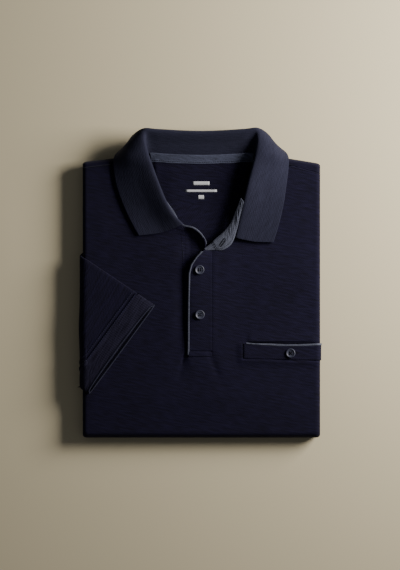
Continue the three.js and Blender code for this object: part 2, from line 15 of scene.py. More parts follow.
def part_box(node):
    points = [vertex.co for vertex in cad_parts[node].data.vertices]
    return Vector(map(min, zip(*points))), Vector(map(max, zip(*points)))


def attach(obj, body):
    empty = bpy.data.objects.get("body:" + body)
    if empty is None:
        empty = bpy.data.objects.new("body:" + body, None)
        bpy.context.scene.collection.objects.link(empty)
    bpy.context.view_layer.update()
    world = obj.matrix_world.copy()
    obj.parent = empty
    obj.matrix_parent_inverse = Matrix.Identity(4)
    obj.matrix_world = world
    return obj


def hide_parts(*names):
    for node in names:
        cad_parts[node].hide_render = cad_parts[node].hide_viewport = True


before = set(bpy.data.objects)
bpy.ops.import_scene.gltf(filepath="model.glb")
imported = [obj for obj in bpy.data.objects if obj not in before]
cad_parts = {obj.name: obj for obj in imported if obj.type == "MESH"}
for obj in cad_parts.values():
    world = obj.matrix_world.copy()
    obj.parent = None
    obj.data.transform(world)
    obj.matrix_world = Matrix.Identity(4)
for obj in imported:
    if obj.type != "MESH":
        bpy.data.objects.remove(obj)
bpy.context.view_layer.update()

bl_info = {
    "name": "Folded polo shirt",
    "version": (1, 0, 0),
    "blender": (4, 5, 0),
    "location": "3D View > Sidebar > Shirt",
    "description": "Dresses the folded polo shirt in knitted cloth, trims, sewing and buttons",
    "category": "Object",
}

MM = 0.001
UP = Vector((0, 0, 1))

# Cloth thicknesses and the gap at every seam.
PIQUE = 1.5
RIB = 2.2
TAPE = 0.9
GAP = 0.3

# The folded bundle: half its width, its height, its side folds, its bottom fold, the roll over its shoulders,
# the hem underneath and the inner end of the strips of back at the shoulders.
HALF_WIDTH = 150.6
HEIGHT = 20
MIDDLE = HEIGHT / 2
SIDE_RADIUS = 5
SIDE_TURN = 2.6
FLAT_HALF = HALF_WIDTH - SIDE_RADIUS
SIDE_WRAP = SIDE_TURN * SIDE_RADIUS
FOLD_REACH = 7
FLAT_END = -197.6 + FOLD_REACH
SHOULDER_REACH = 5
HEM_Y = 140
STRIP_START = 76
# The right side lies a little further out than the left.
RIGHT_EXTRA = 1.8

PLACKET_RIGHT = 14.7
PLACKET_BOTTOM = -94
PLACKET_TOP = 41.8
BOX_TOP = -87
SLIT_END = -88
SLIT_LEFT = -21
SLIT_RIGHT = 12


def linear(code):
    """An sRGB hex colour as linear red, green, blue and alpha."""
    channels = [int(code[k : k + 2], 16) / 255 for k in (0, 2, 4)]
    return [c / 12.92 if c <= 0.04045 else ((c + 0.055) / 1.055) ** 2.4 for c in channels] + [1]


def table(columns, *rows):
    """Rows of plain numbers as records with named columns."""
    return [dict(zip(columns.split(), row)) for row in rows]


# Lines across the shoulders: level near the neck, and falling to the left and the right of near_x.
SHOULDER = {"near_x": 110, "near_y": 159.2, "rise": 0.06, "fall": (0.12, 0.17)}
SHOULDER_SEAM = {"near_x": 113, "near_y": 150.2, "rise": 0, "fall": (0.12, 0.28)}

# Where the front is cut away for the neck and the placket slit: its edge on either side, from the slit's end
# up to the shoulder seam.
NECK_EDGE = table(
    "y left right",
    [SLIT_END, -17.8, SLIT_RIGHT],
    [-72, -19, SLIT_RIGHT],
    [-45, SLIT_LEFT, SLIT_RIGHT],
    [41, SLIT_LEFT, SLIT_RIGHT],
    [47.2, SLIT_LEFT, 15.5],
    [51, SLIT_LEFT, 22.8],
    [59.2, SLIT_LEFT, 33.3],
    [66, SLIT_LEFT, 39],
    [72, -27.5, 46],
    [83.7, -37.5, 54.6],
    [101.4, -47.9, 58.9],
    [125.4, -58.6, 65.8],
    [147, -66.2, 71.9],
    [152, -67.7, 73],
)

# Left edge of the top placket, which curves open towards the collar, and how far it stands up.
PLACKET_EDGE = table(
    "y x lift",
    [PLACKET_BOTTOM, -15.6, 0],
    [-88, -15.4, 0],
    [-72, -15.2, 0.4],
    [-54, -15.2, 0.9],
    [-22, -15, 1.3],
    [12, -14.2, 2.3],
    [23, -11.4, 3.4],
    [33, -4.6, 4.2],
    [PLACKET_TOP, 3.8, 3.8],
)

# Narrow grey binding on the left neck edge and the under placket.
BINDING = table(
    "x y z side",
    [-50, 113, 21.4, 2.2],
    [-34.6, 91.8, 21.4, 2.4],
    [-24, 75.4, 25, 1.8],
    [-9.5, 71.2, 27, 1.8],
    [-1.8, 66, 27.2, 1.8],
    [3.3, 60, 25.8, 1.8],
    [6.8, 53.6, 23.4, 1.7],
    [7.6, 49.6, 21.2, 1.2],
)

# The placket's facing: its cut's length and width, and how it is turned open, with its inner roll (i), its
# outer edge (o) and how far it bulges between them.
FACING_CUT = (80, 16)
FACING = table(
    "ix iy iz ox oy oz lift",
    [4.8, 43.8, 23.8, 5.6, 41.8, 24, 0.3],
    [13.6, 50.4, 24.2, 18.4, 42.2, 23.6, 1.1],
    [19.6, 56.6, 24.8, 27.6, 42.2, 23.2, 1.8],
    [29.8, 65.2, 25.8, 38.8, 49.6, 24.4, 2],
    [38.4, 76.3, 27.2, 45.4, 66, 27.4, 1.2],
    [45.2, 92.4, 28.8, 50, 85, 30.2, 0.6],
    [51.4, 108, 31, 55, 103, 32.4, 0.2],
)

# Sections of the collar from its left front end round the back to the right end: the seam on the neck edge
# (s), the fold line (f) and the free edge of the leaf (e), with the leaf's outward bow and its sag.
COLLAR = table(
    "sx sy sz fx fy fz ex ey ez bow sag",
    [-26, 73, 20.6, -23, 74.5, 30.6, -79, 60.4, 22.7, -2.4, 4],
    [-36, 84.6, 20.6, -34.1, 85.6, 33, -88.6, 78, 22.6, -2.2, 1],
    [-46.4, 102.2, 20.6, -44.2, 102.7, 35, -98, 98.4, 22.5, -1, 0],
    [-57, 126, 20.8, -54.2, 126.6, 36.6, -106.8, 122.8, 22.4, 0.4, 0],
    [-64.6, 147, 21.2, -62.3, 148.7, 37.2, -110.6, 145.6, 22.3, 2.2, 0],
    [-68, 158.4, 21.8, -69, 168, 38, -110.4, 158.4, 21.8, 5, 0],
    [-66, 161.2, 22.2, -73.4, 186, 38.2, -105, 166.5, 14, 5, 0],
    [-60, 161, 22.2, -71, 194.4, 37.6, -88, 175, 6, 6, 0],
    [-48, 160, 22.2, -55, 193.6, 36.8, -62, 177, 2.6, 7, 0],
    [-24, 158.8, 22.2, -26, 191.8, 36, -29, 176, 2.2, 7, 0],
    [0, 158.4, 22.2, 0, 191, 35.6, 0, 175.6, 2.2, 7, 0],
    [24, 158.8, 22.2, 26, 191.8, 36, 29, 176, 2.2, 7, 0],
    [48, 160, 22.2, 55, 193.8, 36.8, 62, 177, 2.6, 7, 0],
    [60, 161, 22.2, 71.4, 194.8, 37.6, 88, 176, 6, 6, 0],
    [68, 160.4, 22.2, 73.8, 184, 38.2, 106, 168, 14, 5, 0],
    [69.8, 156, 21.6, 71.4, 168, 38, 111.4, 159.6, 21.8, 5, 0],
    [70.6, 149, 21, 67.3, 150.5, 37.2, 111.6, 147, 22.8, 1.6, 0],
    [64, 125.6, 20.6, 60.8, 126.6, 34.6, 109, 123.6, 23, -0.4, 0],
    [58.4, 105.2, 20.6, 56, 105.6, 31.4, 105.4, 99, 23.2, -0.8, 0],
    [54, 81.4, 20.6, 50.4, 81.6, 27.4, 99.8, 74.6, 23.4, -0.6, 1],
    [49.6, 59.6, 20.8, 45.2, 58, 24.8, 92.9, 51.8, 23.4, -0.4, 2.4],
)

# The back inside the neck: how its upper end (y, z) and its slope change from the middle outwards.
BACK_NECK = table(
    "x y z ease",
    [0, 157.2, 21.6, 1.8],
    [35, 158, 21.6, 1.9],
    [56, 159.6, 21.4, 2.6],
    [64, 159.4, 20.8, 6],
    [72, 158.4, 20, 8],
    [92, 155.6, 19.2, 10],
)
BACK_INNER = {"y": 44, "z": 13, "half": 92}

SLEEVE = {
    "tip": Vector((-59.9, -29.2)),
    "heel": Vector((-141.8, -140)),
    "band": 26,
    "upper_bow": 4.7,
    "lower_bow": -0.6,
    "wall": 1.2,
    "layer_gap": 0.8,
    "mouth": 2.2,
    "mouth_depth": 30,
    "turn": 2.15,
    "off_chest": 0.65,
    # Rolled edges of the two layers at the open end, and the ridges and the groove along the hem's seam.
    "upper_lip": 0.5,
    "lower_lip": 1.5,
    "ridge": 0.7,
    "groove": 0.2,
    "rim": 0.95,
}

POCKET = {
    "left": 55,
    "top": -79.4,
    "bottom_left": -96.2,
    "bottom_right": -98.8,
    "wall": 1.1,
    "piping": 2,
    "piping_left": 58,
    "run": 95,
    "piping_run": 90,
    "sag": 1.3,
    "turn": 2,
}

# Folded layers that show at the shoulder end: where they end inside the bundle, the height of the lower and
# the upper one, and where they turn.
HIDDEN_END = -170
HIDDEN_FOLDS = table("low high reach", [2.4, 3.6, -1.5], [4.7, 6.3, 0.8], [7.6, 15.6, -2.4])

# Ends of the neck tape.
TAPE_ENDS = (-63.5, 67)

# Plain bars printed inside the neck: middle, width and height.
NECK_PRINT = [[0.5, 127, 21, 4.6], [0.5, 117.4, 40, 3], [0.5, 109.4, 7, 5]]

BUTTON = {"radius": 6, "height": 2.6, "dish": 4.3, "depth": 0.6, "hole": 1, "hole_out": 1.9}
BUTTON_FLOOR = BUTTON["height"] - BUTTON["depth"]
HOLE_OUT = BUTTON["hole_out"] / math.sqrt(2)
HOLES = ((-1, -1), (-1, 1), (1, -1), (1, 1))

# Each button's thread: the pairs of holes that it joins and its thickness, and how far the button leans to
# the right in degrees.
BUTTON_THREAD = {
    "button_1": (((-1, 1), (-1, -1)), ((1, 1), (1, -1)), 1.3, 2),
    "button_2": (((-1, 1), (1, -1)), ((1, 1), (-1, -1)), 0.5, 2),
    "pocket_button": (((-1, 1), (1, -1)), ((1, 1), (-1, -1)), 1.3, -8),
}

# Soft creases of the chest, each a trough (below zero) or ridge between two points.
CREASES = table(
    "ax ay bx by width depth",
    [-20.6, -92.5, -22.6, -99, 1.3, -0.9],
    [-22, -99, -25, -112, 4, -0.35],
    [13.5, -95, 19, -110, 4, -0.6],
    [17, -104, 24, -122, 9, -0.35],
    [18, 24, 17, -46, 4, 0.3],
    [30, 30, 128, 12, 26, 0.35],
    [40, -12, 120, -30, 20, -0.3],
    [-140, 96, -60, 46, 24, 0.3],
    [-118, 118, -96, 40, 15, -0.3],
    [-60, -150, 60, -158, 26, 0.35],
    [70, -120, 140, -132, 18, -0.3],
    [118, 120, 138, 30, 20, 0.3],
    [-30, 20, -44, -70, 12, 0.3],
)


def clamp(value, low, high):
    return max(low, min(high, value))


def mix(a, b, share):
    return a + (b - a) * share


def bump(t):
    return math.exp(-t * t)


def ramp(t):
    t = clamp(t, 0, 1)
    return t * t * (3 - 2 * t)


def steps(low, high, count):
    return [mix(low, high, k / count) for k in range(count + 1)]


def look_up(rows, at, value, column, smooth=False):
    """The value of one column where another has the given value."""
    rising = rows if rows[0][at] < rows[-1][at] else rows[::-1]
    if value <= rising[0][at]:
        return rising[0][column]
    for low, high in zip(rising, rising[1:]):
        if value <= high[at]:
            share = (value - low[at]) / (high[at] - low[at])
            return mix(low[column], high[column], ramp(share) if smooth else share)
    return rising[-1][column]


class SmoothLine:
    """A line that passes smoothly through its points and is as tight as their distances ask."""

    def __init__(self, points):
        self.points = points
        self.padded = [points[0] * 2 - points[1], *points, points[-1] * 2 - points[-2]]

    def at(self, share):
        place = clamp(share, 0, 1) * (len(self.points) - 1)
        k = min(int(place), len(self.points) - 2)
        a, b, c, d = self.padded[k : k + 4]
        middle = max(math.sqrt((c - b).length), 1e-2)
        before = math.sqrt((b - a).length) or middle
        after = math.sqrt((d - c).length) or middle
        start = ((b - a) / before - (c - a) / (before + middle) + (c - b) / middle) * middle
        end = ((c - b) / middle - (d - b) / (middle + after) + (d - c) / after) * middle
        t = place - k
        curve = b + start * t + (c * 3 - b * 3 - start * 2 - end) * t**2
        return curve + (b * 2 - c * 2 + start + end) * t**3

    def along(self, share):
        step = 1e-3
        return (self.at(share + step) - self.at(share - step)).normalized()


def line_through(rows, columns):
    """A line through the places that three columns give."""
    return SmoothLine([Vector([row[column] for column in columns.split()]) for row in rows])


def shoulder_line(line, x):
    past = min(abs(x), HALF_WIDTH) - line["near_x"]
    return line["near_y"] - past * (line["fall"][x > 0] if past > 0 else line["rise"])


def crease_height(x, y):
    """Height of the listed creases."""
    height = 0
    for crease in CREASES:
        a = Vector((crease["ax"], crease["ay"]))
        line = Vector((crease["bx"], crease["by"])) - a
        share = clamp((Vector((x, y)) - a).dot(line) / line.length_squared, -0.4, 1.4)
        off = (Vector((x, y)) - a - line * share).length
        height += crease["depth"] * bump(off / crease["width"])
    return height


def pocket_bottom(x):
    return mix(POCKET["bottom_left"], POCKET["bottom_right"], (x - POCKET["left"]) / POCKET["run"])


def pocket_top(x):
    """The welt's top edge sags from its left end to beyond its middle."""
    share = clamp((x - POCKET["left"]) / POCKET["run"], 0, 1)
    return POCKET["top"] + 2.6 - (2.6 + POCKET["sag"]) * math.sin(math.pi * min(share * 0.8, 1)) ** 0.8


def piping_top(x):
    """The piping is thin at its left end and thickest in its middle."""
    share = clamp((x - POCKET["piping_left"]) / POCKET["piping_run"], 0, 1)
    return pocket_top(x) + GAP + POCKET["piping"] * (0.15 + 0.85 * ramp(share * 2.4)) * (1 - 0.2 * share)


def groove(off, width=0.7, depth=0.5):
    return -depth * bump(off / width)


def seam_relief(x, y):
    """The chest rises to the sewn edges of the placket and of the pocket, and dips at the pocket's mouth."""
    off = math.hypot(max(x - PLACKET_RIGHT, 0), max(PLACKET_BOTTOM - y, 0))
    inside = min(max(x - PLACKET_RIGHT, PLACKET_BOTTOM - y), 0)
    spread = 0.45 * max(PLACKET_BOTTOM - y, 0)
    edge = ramp(1 + (inside + 0.9) / 0.9) * ramp((x + 20 + spread) / (5 + 2 * spread)) * ramp((52 - y) / 10)
    placket = 1.58 * edge * (1 - ramp(off / 42))
    below = ramp((x + 15) / 2) * ramp((14 - x) / 2)
    placket += groove(y - PLACKET_BOTTOM + 0.5, 0.8, 0.7) * below
    off = math.hypot(max(POCKET["left"] - 0.4 - x, 0), max(pocket_bottom(x) - 0.3 - y, 0))
    pocket = 1.5 * ramp((off + 0.25) / 0.9) * (1 - ramp(off / 12)) * ramp((x - 40) / 8) * ramp((-74 - y) / 6)
    pocket += 0.35 * bump((y - pocket_bottom(x) + 3.6) / 1) * ramp((x - POCKET["left"]) / 8)
    above = y - piping_top(x)
    mouth = ramp((x - POCKET["piping_left"]) / 6) * ramp((FLAT_HALF - x) / 4)
    lip_y = y - POCKET["top"] - 4.4
    lip = 1.1 * ramp((lip_y + 0.4) / 0.9) * (1 - ramp(lip_y / 16)) - 1.5 * bump((above - 0.9) / 0.8)
    return placket + pocket + lip * mouth


def relief(x, y):
    """The chest crowns a little, and dips in a valley beside the placket, which stands up."""
    along = ramp((y - FLAT_END) / 50) * ramp((150 - y) / 30)
    beside_placket = ramp((y + 88) / 44) * ramp((66 - y) / 20)
    crown = 0.7 * math.cos(x / HALF_WIDTH * math.pi / 2)
    valley = -1.4 * bump((x + 20.5) / (8.5 if x < -20.5 else 6))
    ridge = 0.8 * bump(x / 15)
    soft = crease_height(x, y) * ramp((FLAT_HALF - abs(x)) / 20) * ramp((120 - y) / 40)
    return along * (crown + soft) + beside_placket * (valley + ridge) + seam_relief(x, y)


def on_chest(x, y, lift=0):
    """A point of the chest, rolled over the side fold past the flat half width, and lifted off it."""
    past = abs(x) - FLAT_HALF
    extra = RIGHT_EXTRA * ramp((x - 90) / 55)
    if past <= 0:
        return Vector((x + extra, y, HEIGHT + relief(x, y) + lift))
    turn = past / SIDE_RADIUS
    radius = SIDE_RADIUS + lift
    edge = HEIGHT + relief(FLAT_HALF, y) - SIDE_RADIUS
    side = FLAT_HALF + radius * math.sin(turn)
    return Vector((math.copysign(side, x) + extra, y, edge + radius * math.cos(turn)))


def on_fold(x, start_y, reach, turn):
    """A point of the bundle's skin beyond the flat chest, `turn` round its end."""
    skin = on_chest(x, start_y)
    radius = skin.z - MIDDLE
    share = radius / MIDDLE
    return Vector((skin.x, start_y + reach * share * math.sin(turn), MIDDLE + radius * math.cos(turn)))


COLLAR_SEAM = line_through(COLLAR, "sx sy sz")
COLLAR_FOLD = line_through(COLLAR, "fx fy fz")
COLLAR_FREE = line_through(COLLAR, "ex ey ez")
COLLAR_SHAPE = SmoothLine([Vector((row["bow"], row["sag"], 0)) for row in COLLAR])


def collar_section(share):
    """The collar's cut at that share of its length, from its seam over the fold to the free edge."""
    seam = COLLAR_SEAM.at(share)
    fold = COLLAR_FOLD.at(share)
    edge = COLLAR_FREE.at(share)
    shape = COLLAR_SHAPE.at(share)
    out = COLLAR_FOLD.along(share).cross(edge - fold).normalized()
    leaf = fold.lerp(edge, 0.48) + out * shape.x
    leaf.y -= shape.y
    return SmoothLine([seam, seam.lerp(fold, 0.55), fold, leaf, edge])


def collar_share_at(x):
    """The share of the collar's length where its seam has that x, at the back of the neck."""
    low, high = 0.25, 0.78
    for _ in range(24):
        middle = (low + high) / 2
        if COLLAR_SEAM.at(middle).x < x:
            low = middle
        else:
            high = middle
    return low


def back_neck_point(x, share):
    end = {column: look_up(BACK_NECK, "x", abs(x), column, True) for column in ("y", "z", "ease")}
    return Vector((x, mix(BACK_INNER["y"], end["y"], share), mix(BACK_INNER["z"], end["z"], share ** end["ease"])))


def placket_point(y, share):
    """A point of the top placket, from its open left edge to its sewn right edge, with the box's upper seam."""
    left = look_up(PLACKET_EDGE, "y", y, "x")
    lift = look_up(PLACKET_EDGE, "y", y, "lift") * (1 - share) ** 1.5
    x = mix(left, PLACKET_RIGHT, share)
    lift += groove(y - BOX_TOP, 0.8, 0.9) * ramp(share * 12) - 0.3 * ramp((share - 0.93) / 0.07)
    flat = Vector((x, y, HEIGHT + relief(x, y) - seam_relief(x, y)))
    return flat + UP * (GAP + PIQUE / 2 + 0.5 * (1 - share) + lift)


def sleeve_point(share, level, over, place, tucked_in=False):
    """A point of the flattened sleeve. `share` runs from the tip to the heel of its open end, `level` is 1 on
    the upper and -1 on the lower layer, `over` passes round its edges, and `place` gives the distance from the
    open end, from the distances at which the cloth reaches the side fold and the crease below it. The cloth
    of the sleeve is tucked in beneath the top of the hem band."""
    cuff = SLEEVE["heel"] - SLEEVE["tip"]
    width = cuff.length
    cuff.normalize()
    back = Vector((cuff.y, -cuff.x))
    half = (SLEEVE["wall"] + SLEEVE["layer_gap"]) / 2
    spot = SLEEVE["tip"] + cuff * (share * width + over * half)
    tucked = FLAT_HALF + SLEEVE["turn"] * SIDE_RADIUS
    to_fold, to_tuck = ((x + spot.x) / -back.x for x in (FLAT_HALF, tucked))
    arch = max(0, math.sin(math.pi * share))
    distance = place(to_fold, to_tuck)
    bow = mix(SLEEVE["lower_bow"], SLEEVE["upper_bow"], (level + 1) / 2) * arch**0.25
    spot += back * (distance + bow * (1 - ramp(distance / SLEEVE["band"])))
    spot += cuff * 0.045 * distance * (1 - share)
    opening = SLEEVE["mouth"] * (1 - ramp(distance / SLEEVE["mouth_depth"])) * arch**0.5
    lift = SLEEVE["off_chest"] + SLEEVE["wall"] / 2 + half + level * (half + opening / 2) + opening / 2
    inner = ramp(share * 12) * ramp((1 - share) * 12)
    lift += SLEEVE["lower_lip"] * (1 - ramp((distance - 0.7) / 2.4)) * max(-level, 0) * inner
    lift += 1.2 * bump((share - 0.55) / 0.28) * bump((distance - 58) / 17) * max(level, 0)
    seam = distance - SLEEVE["band"]
    relief_above = SLEEVE["upper_lip"] * (1 - ramp(distance / 2.6))
    relief_above += SLEEVE["ridge"] * (1.2 * bump((seam - 1.3) / 1.1) + 0.9 * bump((seam - 6.2) / 1.1))
    relief_above += groove(seam - 3.8, 1.2, SLEEVE["groove"]) + groove(seam + 2, 0.8, 0.25)
    if tucked_in and seam < 0.6:
        relief_above -= 1.5 * (1 - ramp((seam + 0.4) / 1))
    lift += relief_above * max(level, 0)
    return on_chest(spot.x, spot.y, lift), distance


def lifted(surface, by):
    """The same surface, raised."""
    return lambda *place: surface(*place) + UP * by


def chest_at(lift):
    return lambda x, y: on_chest(x, y, lift)


def placket_surface(x, y):
    left = look_up(PLACKET_EDGE, "y", y, "x")
    return placket_point(y, (x - left) / (PLACKET_RIGHT - left))


def sleeve_surface(share, distance):
    return sleeve_point(share, 1, 0, lambda fold, tuck: distance)[0]


FACING_INNER = line_through(FACING, "ix iy iz")
FACING_OUTER = line_through(FACING, "ox oy oz")
FACING_LIFT = line_through(FACING, "lift lift lift")


def facing_surface(along, across):
    """A point of the facing, that many millimetres along it and across it, crinkled towards the collar."""
    t, share = along / FACING_CUT[0], across / FACING_CUT[1]
    spot = FACING_INNER.at(t).lerp(FACING_OUTER.at(t), share)
    crinkle = 0.9 * ramp((t - 0.3) / 0.25) * noise.noise(Vector((t * 24 + share * 3, share * 2, 2)))
    crinkle += 0.3 * noise.noise(Vector((t * 14, share * 4, 9)))
    spot.z += FACING_LIFT.at(t).x * math.sin(clamp(share, 0, 1) * math.pi) ** 0.8
    spot.z += crinkle * math.sin(clamp(share, 0, 1) * math.pi)
    return spot


def neck_surface(x, y):
    """A point of the back inside the neck."""
    end = look_up(BACK_NECK, "x", abs(x), "y", True)
    return back_neck_point(x, (y - BACK_INNER["y"]) / (end - BACK_INNER["y"]))


def tape_point(x, share):
    """A point of the neck tape, from its edge on the back up to its edge on the collar's stand."""
    lift = PIQUE / 2 + GAP + TAPE / 2
    section = collar_section(collar_share_at(x))
    on_back = [back_neck_point(x, k) + Vector((0, -0.35, 1)).normalized() * lift for k in (0.956, 0.97, 0.985)]
    on_stand = [section.at(k) + Vector((0, -0.42, 1)).normalized() * (lift + 0.4) for k in (0.03, 0.072)]
    return SmoothLine(on_back + on_stand).at(share)


# --- meshes ---


def placed_grid(columns, rows, place):
    """A bmesh grid whose point (i, j) lies where place says: a point, and its place on the flat cloth."""
    bm = bmesh.new()
    bmesh.ops.create_grid(bm, x_segments=columns - 1, y_segments=rows - 1, size=1)
    flat = {}
    for vert in bm.verts:
        i = round((vert.co.x + 1) / 2 * (columns - 1))
        j = round((vert.co.y + 1) / 2 * (rows - 1))
        vert.co, flat[vert] = place(i, j)
    uv = bm.loops.layers.uv.new("cloth")
    for face in bm.faces:
        for loop in face.loops:
            loop[uv].uv = Vector(flat[loop.vert]) * MM
    return bm


def joined(parts):
    """One bmesh out of several."""
    whole = parts[0]
    for part in parts[1:]:
        mesh = bpy.data.meshes.new("part")
        part.to_mesh(mesh)
        part.free()
        whole.from_mesh(mesh)
        bpy.data.meshes.remove(mesh)
    return whole


def finished(name, bm, material, thickness=0, round_rim=0, offset=0):
    """Scales a bmesh to metres and makes it a named object that rides with the shirt, with a wall of that
    thickness, a rounded rim, and the wall on both sides of the surface unless it has an offset."""
    bmesh.ops.scale(bm, vec=(MM, MM, MM), verts=bm.verts)
    mesh = bpy.data.meshes.new(name)
    bm.to_mesh(mesh)
    bm.free()
    mesh.shade_smooth()
    mesh.set_sharp_from_angle(angle=math.radians(55))
    mesh.materials.append(material)
    piece = bpy.data.objects.new(name, mesh)
    bpy.context.scene.collection.objects.link(piece)
    if thickness:
        wall = piece.modifiers.new("cloth wall", "SOLIDIFY")
        wall.thickness = thickness * MM
        wall.offset = offset
        wall.use_even_offset = True
    if round_rim:
        rim = piece.modifiers.new("rounded rim", "BEVEL")
        rim.width = round_rim * MM
        rim.segments = 2
        rim.limit_method = "ANGLE"
        rim.angle_limit = math.radians(50)
    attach(piece, "root")
    return piece


def sewing_line(surface, places):
    """Points of a line on a surface, through places given in the surface's own two numbers."""
    line = []
    for (a, b), (c, d) in zip(places, places[1:]):
        count = max(2, round((surface(c, d) - surface(a, b)).length))
        line += [surface(mix(a, c, share), mix(b, d, share)) for share in steps(0, 1, count)]
    return line


def strand(bm, start, end, thickness):
    """One stitch's length of thread between two points."""
    along = end - start
    size = Matrix.Diagonal((thickness / 2, thickness / 2, along.length / 2, 1))
    turn = along.to_track_quat("Z", "Y").to_matrix().to_4x4()
    place = Matrix.Translation((start + end) / 2) @ turn @ size
    bmesh.ops.create_uvsphere(bm, u_segments=6, v_segments=4, radius=1, matrix=place)


def sew(bm, line, length, thread):
    """Lays stitches of that length along a line of points."""
    rest, pitch = 0, length * 1.2
    for a, b in zip(line, line[1:]):
        run = (b - a).length
        while run > 1e-6 and rest < run:
            along = (b - a) / run
            spot = a + along * rest
            strand(bm, spot - along * length / 2, spot + along * length / 2, thread)
            rest += pitch
        rest -= run


def buttonhole(bm, surface, centre, along, length, width, thread):
    """Stitches side by side along both sides of a slit."""
    across = Vector((-along.y, along.x))
    for share in steps(-0.5, 0.5, round(length / thread)):
        for side in (-1, 1):
            inner = centre + along * share * length + across * side * 0.2
            outer = centre + along * share * length + across * side * width / 2 * (1 - 0.5 * (2 * share) ** 6)
            strand(bm, surface(*inner), surface(*outer), thread)


def button_body():
    """A turned button with a rounded rim, a dished middle and four holes, standing on the origin."""
    bm = bmesh.new()
    radius, height, dish, floor_z = BUTTON["radius"], BUTTON["height"], BUTTON["dish"], BUTTON_FLOOR
    profile = [
        (dish, floor_z),
        (dish + 0.3, floor_z + 0.35),
        (dish + 0.55, height - 0.1),
        (dish + 0.8, height),
        (radius - 0.35, height - 0.15),
        (radius - 0.05, height - 0.6),
        (radius, height - 1.1),
        (radius - 0.4, 0.7),
        (radius - 1.8, 0),
        (0, 0),
    ]
    verts = [bm.verts.new((x, 0, z)) for x, z in profile]
    edges = [bm.edges.new(pair) for pair in zip(verts, verts[1:])]
    bmesh.ops.spin(
        bm, geom=verts + edges, cent=(0, 0, 0), axis=(0, 0, 1), angle=2 * math.pi, steps=48, use_merge=True
    )
    bmesh.ops.remove_doubles(bm, verts=bm.verts, dist=1e-3)
    rims = [edge for edge in bm.edges if edge.is_boundary]
    holes = []
    for x, y in HOLES:
        place = Matrix.Translation((x * HOLE_OUT, y * HOLE_OUT, floor_z))
        ring = bmesh.ops.create_circle(bm, segments=16, radius=BUTTON["hole"], matrix=place)["verts"]
        # A dict keeps the ring's order, which a set doesn't, so that the fill is the same in each run.
        holes += dict.fromkeys(edge for vert in ring for edge in vert.link_edges)
    bmesh.ops.triangle_fill(bm, use_beauty=True, use_dissolve=False, edges=rims + holes)
    tubes = bmesh.ops.extrude_edge_only(bm, edges=holes)["geom"]
    ends = [part for part in tubes if isinstance(part, bmesh.types.BMVert)]
    bmesh.ops.translate(bm, vec=(0, 0, -floor_z + 0.05), verts=ends)
    bmesh.ops.recalc_face_normals(bm, faces=bm.faces)
    return bm


# --- materials ---


def add_node(tree, kind, inputs, out=None, **settings):
    """Adds a node with its settings and gives its output of that name. Each input is a value, or an output to
    link it to."""
    node = tree.nodes.new(kind)
    for name, value in settings.items():
        setattr(node, name, value)
    for key, value in inputs.items():
        if isinstance(value, bpy.types.NodeSocket):
            tree.links.new(value, node.inputs[key])
        else:
            node.inputs[key].default_value = value
    return node.outputs[out] if out else node


def material_with(name, finish):
    """The material of that name, made at its first use. `finish` gives the inputs of its shader."""
    material = bpy.data.materials.get(name)
    if not material:
        material = bpy.data.materials.new(name)
        material.use_nodes = True
        tree = material.node_tree
        tree.nodes.clear()
        shader = add_node(tree, "ShaderNodeBsdfPrincipled", finish(tree), "BSDF")
        add_node(tree, "ShaderNodeOutputMaterial", {"Surface": shader})
    return material


def sum_of(tree, value, factor, rest):
    """value * factor + rest."""
    return add_node(tree, "ShaderNodeMath", {0: value, 1: factor, 2: rest}, "Value", operation="MULTIPLY_ADD")


def knit(name, colour, light, cell, turn, depth, contrast, sheen, course=2.6, streak=0.8):
    """Knitted cotton: loops in even cells, with a matt, slightly hairy surface that lightens at a glance.
    `light` is the colour of the loops' tops and `cell` the size of a cell in millimetres. The courses show
    as faint uneven streaks that run a little aslant, `course` millimetres apart and that strong."""

    def finish(tree):
        cloth = add_node(tree, "ShaderNodeUVMap", {}, "UV", uv_map="cloth")
        scale = (1 / (cell[0] * MM), 1 / (cell[1] * MM), 1)
        turned = {"Vector": cloth, "Rotation": (0, 0, turn), "Scale": scale}
        cells = {"Vector": add_node(tree, "ShaderNodeMapping", turned, "Vector"), "Scale": 1, "Randomness": 0.22}
        loops = add_node(tree, "ShaderNodeTexVoronoi", cells, "Distance", voronoi_dimensions="2D")
        hairs = add_node(tree, "ShaderNodeTexNoise", {"Vector": cloth, "Scale": 900, "Detail": 3}, "Fac")
        patches = add_node(tree, "ShaderNodeTexNoise", {"Vector": cloth, "Scale": 14, "Detail": 3}, "Fac")
        slant = (0, 0, math.radians(-11))
        turned = {"Vector": cloth, "Rotation": slant, "Scale": (7 * course * MM, course * MM, 1)}
        aslant = add_node(tree, "ShaderNodeMapping", turned, "Vector", vector_type="TEXTURE")
        courses = add_node(tree, "ShaderNodeTexNoise", {"Vector": aslant, "Scale": 1.2, "Detail": 2}, "Fac")
        height = sum_of(tree, courses, -2 * streak, sum_of(tree, hairs, 0.5, loops))
        limits = {"From Min": 0.45 - streak, "From Max": 1.25 - streak, "To Min": contrast, "To Max": 0}
        shade = {"Value": sum_of(tree, patches, 0.5, height), **limits}
        share = add_node(tree, "ShaderNodeMapRange", shade, "Result")
        relief_inputs = {"Height": height, "Strength": 0.8, "Distance": depth * MM}
        return {
            "Base Color": tone_between(tree, share, colour, light),
            "Roughness": 0.86,
            "IOR": 1.47,
            "Specular IOR Level": 0.12,
            "Sheen Weight": sheen,
            "Sheen Roughness": 0.45,
            "Sheen Tint": (0.7, 0.75, 0.95, 1),
            "Normal": add_node(tree, "ShaderNodeBump", relief_inputs, "Normal", invert=True),
        }

    return material_with(name, finish)


def tone_between(tree, share, a, b):
    return add_node(tree, "ShaderNodeMix", {"Factor": share, "A": a, "B": b}, "Result", data_type="RGBA")


